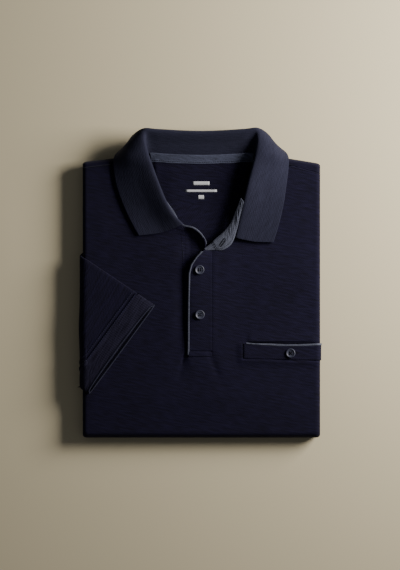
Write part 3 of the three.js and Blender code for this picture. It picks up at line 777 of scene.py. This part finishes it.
def noise_on(tree, scale, detail):
    """A noise that stays with the piece."""
    place = add_node(tree, "ShaderNodeTexCoord", {}, "Object")
    return add_node(tree, "ShaderNodeTexNoise", {"Vector": place, "Scale": scale, "Detail": detail}, "Fac")


def button_resin(colour):
    """Polished polyester resin, as shirt buttons are turned from: smooth, faintly clouded, with a soft gloss."""

    def finish(tree):
        clouds = {"Value": noise_on(tree, 260, 4), "From Min": 0.3, "From Max": 0.7, "To Min": 0, "To Max": 0.35}
        share = add_node(tree, "ShaderNodeMapRange", clouds, "Result")
        return {"Base Color": tone_between(tree, share, colour, linear("3a3d4e")), "Roughness": 0.5, "IOR": 1.5}

    return material_with("polyester_resin_slate", finish)


def grained(name, colour, scale, detail, strength, gloss):
    """A plain colour with a fine grain in relief."""

    def finish(tree):
        grain = {"Height": noise_on(tree, scale, detail), "Strength": strength, "Distance": 0.1 * MM}
        return {"Base Color": colour, "Normal": add_node(tree, "ShaderNodeBump", grain, "Normal"), **gloss}

    return material_with(name, finish)


def sewing_thread(name, colour):
    """Spun polyester sewing thread: twisted, with a faint satin gloss."""
    return grained(name, colour, 2500, 1, 0.4, {"Roughness": 0.8, "IOR": 1.5, "Specular IOR Level": 0.12})


def transfer_print(colour):
    """Heat-transfer film, printed and pressed into the knit: matt, and faintly grained by the loops beneath."""
    return grained("transfer_print_pale", colour, 900, 2, 0.3, {"Roughness": 0.6, "IOR": 1.5})


def backdrop_paper(colour):
    """Matt uncoated paper, even, with a trace of tooth."""
    return grained("uncoated_paper", colour, 700, 2, 0.15, {"Roughness": 0.95})


def pique_cloth(settings):
    """Cotton pique, whose raised cells stand in diagonal rows."""
    cell = settings.pique_cell / MM
    return knit("cotton_pique_navy", settings.navy, settings.navy_light, (cell, cell), math.pi / 4, 0.25, 0.8, 0.05)


def band_cloth(settings):
    """The same pique cut across its courses for the hem band, its loop tops a little paler: painted sheen for the
    light that the band catches.
    """
    cell = settings.pique_cell / MM
    return knit("cotton_pique_navy_band_painted_sheen", settings.navy, settings.navy_pale_painted_sheen, (cell, cell), 0, 0.25, 0.85, 0.05)


def rib_cloth(settings):
    """Flat-knitted cotton, thick and even, whose narrow ribs catch the light."""
    colours = settings.slate, settings.slate_light
    return knit("cotton_flat_knit_slate", *colours, (1.3, 1.9), 0, 0.35, 1, 0.08, 2.4, 0.4)


def marl_cloth(settings):
    """Jersey of two yarns spun together, flecked light and dark."""
    colours = settings.marl, settings.marl_light
    return knit("cotton_jersey_grey_marl", *colours, (0.9, 1.4), 0, 0.15, 1, 0.1, 2.2, 0.35)


def tape_cloth(settings):
    """Twill-woven cotton tape, barred by its fine paler diagonals."""
    colours = settings.tape, settings.tape_light
    return knit("cotton_twill_tape_grey", *colours, (0.7, 1.8), 0.6, 0.15, 1, 0.1, 1.8, 0.5)


# --- settings ---


def colour_setting(name, description, code):
    """A colour that a user may change, its default given in sRGB."""
    return FloatVectorProperty(
        name=name, description=description, subtype="COLOR", size=4, min=0, max=1, default=linear(code)
    )


def length_setting(name, description, size):
    """A length that a user may change, its default given in millimetres."""
    return FloatProperty(name=name, description=description, default=size * MM, unit="LENGTH")


class ShirtSettings(bpy.types.PropertyGroup):
    navy: colour_setting("Navy", "Colour of the pique between its loops", "090715")
    navy_light: colour_setting("Navy, light", "Colour of the tops of the pique's loops", "17142d")
    # The hem band's paler loop tops are painted sheen, for the light that the band catches.
    navy_pale_painted_sheen: colour_setting("Hem band's loops", "Colour of the loops' tops on the hem band", "272539")
    slate: colour_setting("Slate", "Colour of the flat-knitted collar between its loops", "161623")
    # Also the colour of the paler thread that paints the highlight on the sleeve's hem ridges and on the slit's left
    # edge.
    slate_light: colour_setting("Slate, light", "Colour of the tops of the collar's loops", "27283a")
    marl: colour_setting("Marl", "Dark yarn of the marl jersey", "22242f")
    marl_light: colour_setting("Marl, light", "Light yarn of the marl jersey", "5c5f6e")
    tape: colour_setting("Neck tape", "Colour of the twill tape inside the neck", "2a2c37")
    tape_light: colour_setting("Neck tape's ribs", "Colour of the raised ribs of the tape's twill", "50546a")
    button: colour_setting("Buttons", "Colour of the buttons", "2b2d3d")
    thread_navy: colour_setting("Thread, navy", "Colour of the sewing thread on the navy cloth", "06060c")
    thread_grey: colour_setting("Thread, grey", "Colour of the sewing thread on the marl jersey", "14151d")
    print: colour_setting("Print", "Colour of the plain bars inside the neck", "b6b7bb")
    floor: colour_setting("Floor", "Colour of the surface under the shirt", "c5ba9d")
    pique_cell: length_setting("Pique cell", "Size of the pique's cells, drawn a little coarse so that they show", 1.6)
    thread: length_setting("Thread", "Thickness of the sewing thread, drawn a little coarse so that it shows", 0.45)
    stitch: length_setting("Stitch", "Length of one stitch", 2.4)


# --- operators ---


class SHIRT_OT_hidden_layers(bpy.types.Operator):
    """Folded layers inside the bundle, whose edges show at the shoulder end"""

    bl_idname = "shirt.hidden_layers"
    bl_label = "Hidden layers"

    def execute(self, context):
        settings = context.scene.shirt
        columns, run, turns = 61, 24, 8
        half = FLAT_HALF - 1
        parts = []
        for k, fold in enumerate(HIDDEN_FOLDS):
            radius = (fold["high"] - fold["low"]) / 2
            middle = (fold["high"] + fold["low"]) / 2

            def place(i, j, radius=radius, middle=middle, reach=fold["reach"], k=k):
                x = mix(-half, half, i / (columns - 1))
                wave = 0.5 * noise.noise(Vector((x / 40, k * 7, 0)))
                end = shoulder_line(SHOULDER, x) - SHOULDER_REACH + reach + wave
                if j < run:
                    y, z = mix(HIDDEN_END, end, j / run), middle - radius
                elif j <= run + turns:
                    turn = (j - run) / turns * math.pi
                    y, z = end + radius * math.sin(turn), middle - radius * math.cos(turn)
                else:
                    y, z = mix(end, HIDDEN_END, (j - run - turns) / run), middle + radius
                return Vector((x, y, z)), (x, j * 8)

            parts.append(placed_grid(columns, 2 * run + turns + 1, place))
        piece = finished("hidden_layers", joined(parts), pique_cloth(settings), 1)
        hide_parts("folded_layers")
        return {"FINISHED"}


class SHIRT_OT_front(bpy.types.Operator):
    """Front of the shirt, from the shoulder seams round the bottom fold to the hem underneath"""

    bl_idname = "shirt.front"
    bl_label = "Front"

    def execute(self, context):
        settings = context.scene.shirt
        outer = FLAT_HALF + SIDE_WRAP
        side, slit = 80, 22
        columns = 2 * side + slit + 1
        straight = shoulder_line(SHOULDER_SEAM, 0)
        lower_rows = steps(FLAT_END, SLIT_END, 52)
        chest_rows = [*steps(SLIT_END, -80, 4), *steps(-80, -73, 20)[1:], *steps(-73, straight, 112)[1:]]
        under, fold, lower, chest = 24, 12, len(lower_rows) - 1, len(chest_rows) - 1
        rows = under + fold + lower + chest + 1

        def place(i, j):
            if j <= under + fold:
                y, edge_y = FLAT_END, SLIT_END
            elif j <= under + fold + lower:
                y = edge_y = lower_rows[j - under - fold]
            else:
                y = edge_y = chest_rows[j - under - fold - lower]
            left = look_up(NECK_EDGE, "y", edge_y, "left")
            right = look_up(NECK_EDGE, "y", edge_y, "right")
            if i <= side:
                x = mix(left, -outer, (1 - i / side) ** 1.2)
            elif i <= side + slit:
                x = mix(left, right, (i - side) / slit)
            else:
                x = mix(right, outer, ((i - side - slit) / side) ** 1.25)
            if j < under:
                skin = on_fold(x, FLAT_END, -FOLD_REACH, math.pi)
                y = mix(HEM_Y, FLAT_END, j / under)
                arc = math.pi * MIDDLE
                return Vector((skin.x, y, skin.z)), (x, 2 * FLAT_END - y - arc)
            if j <= under + fold:
                turn = (1 - (j - under) / fold) * math.pi
                return on_fold(x, FLAT_END, -FOLD_REACH, turn), (x, FLAT_END - turn * MIDDLE)
            y = mix(FLAT_END, shoulder_line(SHOULDER_SEAM, x), (y - FLAT_END) / (straight - FLAT_END))
            return on_chest(x, y), (x, y)

        bm = placed_grid(columns, rows, place)
        bm.faces.ensure_lookup_table()
        above_slit = under + fold + lower
        opening = [
            face
            for k, face in enumerate(bm.faces)
            if side <= k % (columns - 1) < side + slit and k // (columns - 1) >= above_slit
        ]
        bmesh.ops.delete(bm, geom=opening, context="FACES")
        piece = finished("front_cloth", bm, pique_cloth(settings), PIQUE, offset=-1)
        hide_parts("front_panel")
        return {"FINISHED"}


class SHIRT_OT_back(bpy.types.Operator):
    """Back of the shirt: its inner side in the neck and the strips that roll over the shoulders"""

    bl_idname = "shirt.back"
    bl_label = "Back"

    def execute(self, context):
        settings = context.scene.shirt
        columns, rows = 105, 61

        def neck(i, j):
            x = mix(-BACK_INNER["half"], BACK_INNER["half"], i / (columns - 1))
            share = 1 - (1 - min(j / (rows - 5), 1)) ** 1.4
            past = max(0, j - rows + 5)
            return back_neck_point(x, share) + Vector((0, 1.3 * past, -0.25 * past)), (x, share * 115 + past)

        parts = [placed_grid(columns, rows, neck)]
        flat, roll = 16, 14
        for side in (-1, 1):

            def strip(i, j, side=side):
                x = mix(STRIP_START, FLAT_HALF + SIDE_WRAP, i / 44)
                start = shoulder_line(SHOULDER, side * x) - SHOULDER_REACH
                seam = shoulder_line(SHOULDER_SEAM, side * x)
                if j <= flat:
                    y = mix(seam - 2.6, start, j / flat)
                    tuck = 1.7 * (1 - ramp((y - seam + 0.5) / 1.1))
                    return on_chest(side * x, y, -tuck), (x, y)
                turn = 1.45 * (j - flat) / roll
                return on_fold(side * x, start, SHOULDER_REACH, turn), (x, start + turn * 8)

            part = placed_grid(45, flat + roll + 1, strip)
            if side < 0:
                bmesh.ops.reverse_faces(part, faces=part.faces)
            part.normal_update()
            for vert in part.verts:
                vert.co -= vert.normal * PIQUE / 2
            parts.append(part)
        piece = finished("back_cloth", joined(parts), pique_cloth(settings), PIQUE)
        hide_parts("back_panel")
        return {"FINISHED"}


class SHIRT_OT_collar(bpy.types.Operator):
    """Flat-knitted collar, its stand and leaf in one"""

    bl_idname = "shirt.collar"
    bl_label = "Collar"

    def execute(self, context):
        settings = context.scene.shirt
        length, across = 240, 60
        sections = [collar_section(share) for share in steps(0, 1, length)]
        lengths = [0]
        folds = [COLLAR_FOLD.at(share) for share in steps(0, 1, length)]
        for a, b in zip(folds, folds[1:]):
            lengths.append(lengths[-1] + (b - a).length)

        def place(i, j):
            return sections[i].at(j / across), (lengths[i], j * 1.7)

        bm = placed_grid(length + 1, across + 1, place)
        piece = finished("collar_knit", bm, rib_cloth(settings), RIB, 0.5)
        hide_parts("collar")
        return {"FINISHED"}


class SHIRT_OT_neck_trim(bpy.types.Operator):
    """Grey tape over the back neck seam and the narrow binding on the left neck edge"""

    bl_idname = "shirt.neck_trim"
    bl_label = "Neck tape and binding"

    def execute(self, context):
        settings = context.scene.shirt
        columns, across = 121, 12

        def tape(i, j):
            x = mix(*TAPE_ENDS, i / (columns - 1))
            return tape_point(x, j / across), (x, j)

        bm = placed_grid(columns, across + 1, tape)
        piece = finished("neck_tape_jersey", bm, tape_cloth(settings), TAPE, 0.25)
        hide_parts("neck_tape")

        line = line_through(BINDING, "x y z")
        sides = line_through(BINDING, "side side side")

        def strip(i, j):
            t = i / 80
            along = line.along(t)
            width = sides.at(t).x * j / 4
            bulge = 0.35 * math.sin(math.pi * j / 4)
            spot = line.at(t) + Vector((along.y * width, -along.x * width, 0.2 * j / 4 + bulge))
            return spot, (i * 1.1, width)

        bm = placed_grid(81, 5, strip)
        piece = finished("neck_binding_jersey", bm, marl_cloth(settings), TAPE, 0.25)
        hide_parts("neck_binding")

        bars = []
        for x, y, width, height in NECK_PRINT:

            def bar(i, j, x=x, y=y, width=width, height=height):
                spot = neck_surface(x + width * (i / 12 - 0.5), y + height * (j / 3 - 0.5))
                return spot + UP * (PIQUE / 2 + 0.12), (i, j)

            bars.append(placed_grid(13, 4, bar))
        finished("neck_print", joined(bars), transfer_print(settings.print), 0.15)
        return {"FINISHED"}


class SHIRT_OT_placket(bpy.types.Operator):
    """Under placket, top placket, its grey edge and the facing that is turned open"""

    bl_idname = "shirt.placket"
    bl_label = "Placket"

    def execute(self, context):
        settings = context.scene.shirt
        navy, grey = pique_cloth(settings), marl_cloth(settings)

        def under(i, j):
            x = mix(-21.8, 6.4, (i / 24) ** 1.3)
            top = look_up(BINDING[2:], "x", x, "y") - 0.6
            y = mix(SLIT_END + 1, top, j / 90)
            depth = mix(PIQUE / 2 + 0.15, 2.4, ramp((x + 20) / 8) * ramp((y + 86) / 20))
            depth += 1.2 * ramp((x + 21) / 9) * ramp((y - 20) / 40)
            rise = 8 * ramp(1 - (top - y) / 17) ** 0.8 * ramp((x + 21.4) / 12)
            return on_chest(x, y, rise - depth), (x, y)

        piece = finished("under_placket_cloth", placed_grid(25, 91, under), navy, PIQUE)
        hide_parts("under_placket")

        def top(i, j):
            y = mix(PLACKET_BOTTOM, PLACKET_TOP, j / 100)
            spot = placket_point(y, i / 24)
            return spot, (spot.x, y)

        piece = finished("top_placket_cloth", placed_grid(25, 101, top), navy, PIQUE, 0.45)
        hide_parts("top_placket")

        # The facing's edge rolls round the placket's left edge: how far out and how high its section goes.
        section = (2.5, -1.3), (0, -1.3), (-1.3, -0.5), (-1.2, 0.8), (-0.1, 1.35), (0.7, 0.9)
        lip = SmoothLine([Vector((out, up, 0)) for out, up in section])

        def edge(i, j):
            y = mix(SLIT_END - 4, 40, j / 110)
            roll = lip.at(i / 10)
            spot = placket_point(y, 0)
            spot += Vector((roll.x, 0, roll.y * mix(0.4, 1, ramp((y - SLIT_END) / 6))))
            return spot, (i * 0.5, y)

        piece = finished("placket_edge_jersey", placed_grid(11, 111, edge), grey, 0.5)
        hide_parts("placket_edge")

        def facing(i, j):
            spot = i / 90 * FACING_CUT[0], j / 24 * FACING_CUT[1]
            return facing_surface(*spot), spot

        piece = finished("placket_facing_jersey", placed_grid(91, 25, facing), grey, 1.2, 0.3)
        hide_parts("placket_facing")
        return {"FINISHED"}


class SHIRT_OT_sleeve(bpy.types.Operator):
    """Sleeve and its hem band, both flattened tubes"""

    bl_idname = "shirt.sleeve"
    bl_label = "Sleeve"

    def execute(self, context):
        settings = context.scene.shirt
        shares = [*steps(0, 0.72, 30), *steps(0.72, 1, 32)[1:]]
        turns = [0.8, 0.45, 0, -0.45, -0.8]
        ring = [(share, 1, 0) for share in shares]
        ring += [(1, level, math.sqrt(1 - level**2)) for level in turns]
        ring += [(share, -1, 0) for share in reversed(shares)]
        ring += [(0, -level, -math.sqrt(1 - level**2)) for level in turns]
        ring.append(ring[0])

        def band_end(to_tuck):
            return min(SLEEVE["band"], to_tuck - GAP - 1)

        def tube(rows, place):
            def put(i, j):
                share, level, over = ring[i]
                spot, distance = sleeve_point(
                    share, level, over, lambda fold, tuck: place(fold, tuck, j / rows), place is sleeve_place
                )
                return spot, (i * 1.9, distance)

            bm = placed_grid(len(ring), rows + 1, put)
            bmesh.ops.remove_doubles(bm, verts=bm.verts, dist=1e-3)
            return bm

        def band_place(_, to_tuck, share):
            return band_end(to_tuck) * share**1.5

        def sleeve_place(to_fold, to_tuck, share):
            start = band_end(to_tuck) - 1.2
            fold = clamp(to_fold, mix(start, to_tuck, 0.2), mix(start, to_tuck, 0.95))
            if share < 0.75:
                return mix(start, fold, (share / 0.75) ** 1.6)
            return mix(fold, to_tuck, (share - 0.75) / 0.25)

        navy = pique_cloth(settings)
        wall = SLEEVE["wall"]
        piece = finished("sleeve_cloth", tube(64, sleeve_place), navy, wall)
        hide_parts("sleeve")
        piece = finished("sleeve_band_cloth", tube(26, band_place), band_cloth(settings), wall, 0.3)
        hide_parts("sleeve_band")

        # The hem's folded rim round the open end: a bead along the middle of its cloth. The bead is a real rolled rim,
        # but it wears the paler collar knit as a painted highlight where the rims catch the light.
        centres = []
        for share, level, over in ring[:-1]:
            spot, _ = sleeve_point(share, level, over, lambda fold, tuck: 0)
            centres.append(spot + UP * (0.15 if level > 0 else 0.35))

        def rim(i, j):
            k = i % len(centres)
            along = (centres[(k + 1) % len(centres)] - centres[k - 1]).normalized()
            out = UP.cross(along).normalized()
            turn = j / 8 * 2 * math.pi
            spot = centres[k] + (out * math.cos(turn) + along.cross(out) * math.sin(turn)) * SLEEVE["rim"]
            return spot, (i * 1.9, j * 0.75)

        bm = placed_grid(len(ring), 9, rim)
        bmesh.ops.remove_doubles(bm, verts=bm.verts, dist=1e-3)
        bmesh.ops.recalc_face_normals(bm, faces=bm.faces)
        # The paler collar knit paints the highlight on the rolled rims.
        finished("sleeve_band_rim_painted_highlight", bm, rib_cloth(settings))
        return {"FINISHED"}


class SHIRT_OT_pocket(bpy.types.Operator):
    """Welt of the breast pocket and the grey piping along its top edge"""

    bl_idname = "shirt.pocket"
    bl_label = "Pocket"

    def execute(self, context):
        settings = context.scene.shirt
        end = FLAT_HALF + POCKET["turn"] * SIDE_RADIUS

        def welt(i, j):
            x = mix(POCKET["left"], end, i / 90)
            y = mix(pocket_bottom(x), pocket_top(x), j / 20)
            ledge = 0.3 * bump((j / 20 - 0.93) / 0.05)
            return on_chest(x, y, GAP + POCKET["wall"] / 2 + ledge), (x, y)

        bm = placed_grid(91, 21, welt)
        piece = finished("pocket_welt_cloth", bm, pique_cloth(settings), POCKET["wall"], 0.35)
        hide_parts("pocket_welt")

        def piping(i, j):
            x = mix(POCKET["piping_left"], end, i / 90)
            low = pocket_top(x) + GAP
            y = mix(low, piping_top(x), j / 5)
            skin = on_chest(x, pocket_top(x) - 1, GAP + 0.75 + 0.45 * math.sin(math.pi * j / 5))
            return Vector((skin.x, y, skin.z)), (x, y)

        bm = placed_grid(91, 6, piping)
        piece = finished("pocket_piping_jersey", bm, marl_cloth(settings), 1.5, 0.45)
        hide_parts("pocket_piping")
        return {"FINISHED"}


class SHIRT_OT_sewing(bpy.types.Operator):
    """Rows of stitches on the seams, the placket, the pocket, the sleeve and the neck tape"""

    bl_idname = "shirt.sewing"
    bl_label = "Sewing"

    def execute(self, context):
        settings = context.scene.shirt
        length, thread = settings.stitch / MM, settings.thread / MM
        flush = chest_at(0.02)
        on_placket = lifted(placket_surface, PIQUE / 2)
        on_welt = chest_at(GAP + POCKET["wall"])
        on_sleeve = lifted(sleeve_surface, SLEEVE["wall"] / 2)
        on_facing = lifted(facing_surface, 0.62)
        box_left, box_right = -12.8, 13
        left, end = POCKET["left"], FLAT_HALF + 8
        rows = []
        for side in (-1, 1):
            places = [side * x for x in (96, 113, FLAT_HALF, FLAT_HALF + 9)]
            rows.append((flush, [(x, shoulder_line(SHOULDER_SEAM, x) - 1.8) for x in places]))
        rows += [
            (on_placket, [(box_left, BOX_TOP), (box_right, BOX_TOP)]),
            (on_placket, [(box_left, PLACKET_BOTTOM + 0.8), (box_right, PLACKET_BOTTOM + 0.8)]),
            (flush, [(-25, 62), (-23.4, 44), (-22.8, 0), (-22.8, -86)]),
            (on_welt, [(left + 1.6, POCKET["top"] + 1), (left + 1.6, pocket_bottom(left) + 1)]),
            (flush, [(left - 1.6, POCKET["top"] + 3), (left - 1.6, pocket_bottom(left))]),
            (on_welt, [(x, pocket_bottom(x) + 1.2) for x in (left + 2, 100, end)]),
        ]
        bm = bmesh.new()
        for surface, places in rows:
            sew(bm, sewing_line(surface, places), length, thread)
        sew(bm, [tape_point(x, 0.3) + UP * (TAPE / 2) for x in range(-61, 65)], length, 2 * thread)
        for y in (15.2, -42):
            buttonhole(bm, on_placket, Vector((-1.3, y)), Vector((0, 1)), 13.5, 2.2, thread)
        buttonhole(bm, on_welt, Vector((116.6, -89.3)), Vector((1, 0)), 14, 2.2, thread)
        finished("sewing_navy", bm, sewing_thread("polyester_thread_navy", settings.thread_navy))

        bm = bmesh.new()
        for along in (14, 17.5):
            sew(bm, sewing_line(on_facing, [(along, 1), (along + 1.5, 15)]), length, 2 * thread)
        sew(bm, sewing_line(on_facing, [(20, 14.2), (40, 14), (64, 13.6)]), length, 1.5 * thread)
        buttonhole(bm, on_facing, Vector((31, 8.6)), Vector((0.94, -0.34)), 12, 4.4, thread)
        finished("sewing_grey", bm, sewing_thread("polyester_thread_grey", settings.thread_grey))

        # Rows in the paler slate thread on the ridges of the sleeve's hem seam and along the slit's left edge: real
        # stitching, whose paler colour is a painted highlight where these ridges and edges catch the light.
        bm = bmesh.new()
        for distance, last in ((1.4, 0.84), (6.3, 0.8)):
            places = [(share, SLEEVE["band"] + distance) for share in steps(0.02, last, 8)]
            sew(bm, sewing_line(on_sleeve, places), length, 1.8 * thread)
        sew(bm, sewing_line(flush, [(-23.6, 51), (-21.8, 32)]), length, 1.5 * thread)
        slate = sewing_thread("polyester_thread_painted_highlight", settings.slate_light)
        finished("sewing_slate_painted_highlight", bm, slate)
        return {"FINISHED"}


class SHIRT_OT_buttons(bpy.types.Operator):
    """Four-hole buttons, sewn on with crossed thread"""

    bl_idname = "shirt.buttons"
    bl_label = "Buttons"

    def execute(self, context):
        settings = context.scene.shirt
        resin = button_resin(settings.button)
        thread = sewing_thread("polyester_thread_navy", settings.thread_navy)
        for node, (*pairs, thickness, lean) in BUTTON_THREAD.items():
            low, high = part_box(node)
            x, y = ((a + b) / 2 / MM for a, b in zip(low[:2], high[:2]))
            if node == "pocket_button":
                ground = on_chest(x, y, GAP + POCKET["wall"])
            else:
                ground = placket_surface(x, y) + UP * (PIQUE / 2)
            foot = Vector((x, y, ground.z + 0.25))
            turn = Matrix.Rotation(math.radians(lean), 4, "Y")
            body = button_body()
            bmesh.ops.transform(body, matrix=Matrix.Translation(foot) @ turn, verts=body.verts)
            piece = finished(f"{node}_resin", body, resin)
            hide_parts(node)
            bm = bmesh.new()
            for pair in pairs:
                a, b = (Vector((x * HOLE_OUT, y * HOLE_OUT, BUTTON_FLOOR)) for x, y in pair)
                strand(bm, a + (a - b) * 0.2, b + (b - a) * 0.2, thickness)
            for x, y in HOLES:
                a = Vector((x * HOLE_OUT, y * HOLE_OUT, 0))
                strand(bm, a - UP * 2, a + UP * BUTTON_FLOOR, 2 * BUTTON["hole"] - 0.2)
            bmesh.ops.transform(bm, matrix=Matrix.Translation(foot) @ turn, verts=bm.verts)
            finished(f"{node}_thread", bm, thread)
        return {"FINISHED"}


class SHIRT_OT_stage(bpy.types.Operator):
    """Pale surface, soft studio light and the camera"""

    bl_idname = "shirt.stage"
    bl_label = "Stage"

    def execute(self, context):
        settings = context.scene.shirt
        bm = bmesh.new()
        bmesh.ops.create_grid(bm, x_segments=8, y_segments=8, size=4)
        mesh = bpy.data.meshes.new("floor")
        bm.to_mesh(mesh)
        bm.free()
        mesh.materials.append(backdrop_paper(settings.floor))
        floor = bpy.data.objects.new("floor", mesh)
        context.scene.collection.objects.link(floor)

        light = bpy.data.lights.new("window", "AREA")
        light.shape = "RECTANGLE"
        light.size = 0.6
        light.size_y = 0.48
        light.energy = 25
        light.spread = math.radians(150)
        light.color = (1, 0.965, 0.91)
        window = bpy.data.objects.new("window", light)
        around, above = math.radians(23), math.radians(25)
        level = math.cos(above)
        place = 1.15 * Vector((math.cos(around) * level, math.sin(around) * level, math.sin(above)))
        turn = (place - Vector((0.3, 0.25, 0))).to_track_quat("Z", "Y").to_matrix().to_4x4()
        window.matrix_world = Matrix.Translation(place) @ turn
        context.scene.collection.objects.link(window)

        world = bpy.data.worlds.new("studio")
        world.use_nodes = True
        background = world.node_tree.nodes["Background"]
        background.inputs["Color"].default_value = (0.92, 0.95, 1, 1)
        background.inputs["Strength"].default_value = 0.1
        context.scene.world = world

        lens = bpy.data.cameras.new("overhead")
        camera = bpy.data.objects.new("overhead", lens)
        distance, view_height = 5, 0.7296
        lens.sensor_width = 36
        lens.lens = lens.sensor_width * distance / view_height
        lens.clip_end = 20
        camera.location = (-0.9 * MM, -2.7 * MM, distance)
        context.scene.collection.objects.link(camera)
        context.scene.camera = camera
        return {"FINISHED"}


class SHIRT_PT_panel(bpy.types.Panel):
    """Settings and steps of the folded shirt"""

    bl_idname = "SHIRT_PT_panel"
    bl_label = "Folded polo shirt"
    bl_space_type = "VIEW_3D"
    bl_region_type = "UI"
    bl_category = "Shirt"

    def draw(self, context):
        settings = context.scene.shirt
        for name in ShirtSettings.__annotations__:
            self.layout.prop(settings, name)
        for step in STEPS:
            self.layout.operator(step.bl_idname)


STEPS = (
    SHIRT_OT_stage,
    SHIRT_OT_hidden_layers,
    SHIRT_OT_front,
    SHIRT_OT_back,
    SHIRT_OT_collar,
    SHIRT_OT_neck_trim,
    SHIRT_OT_placket,
    SHIRT_OT_sleeve,
    SHIRT_OT_pocket,
    SHIRT_OT_sewing,
    SHIRT_OT_buttons,
)
CLASSES = (ShirtSettings, *STEPS, SHIRT_PT_panel)


def register():
    for cls in CLASSES:
        bpy.utils.register_class(cls)
    bpy.types.Scene.shirt = PointerProperty(type=ShirtSettings)


def unregister():
    del bpy.types.Scene.shirt
    for cls in reversed(CLASSES):
        bpy.utils.unregister_class(cls)


def main():
    register()
    bpy.ops.shirt.stage()
    bpy.ops.shirt.hidden_layers()
    bpy.ops.shirt.front()
    bpy.ops.shirt.back()
    bpy.ops.shirt.collar()
    bpy.ops.shirt.neck_trim()
    bpy.ops.shirt.placket()
    bpy.ops.shirt.sleeve()
    bpy.ops.shirt.pocket()
    bpy.ops.shirt.sewing()
    bpy.ops.shirt.buttons()


if __name__ == "__main__":
    main()
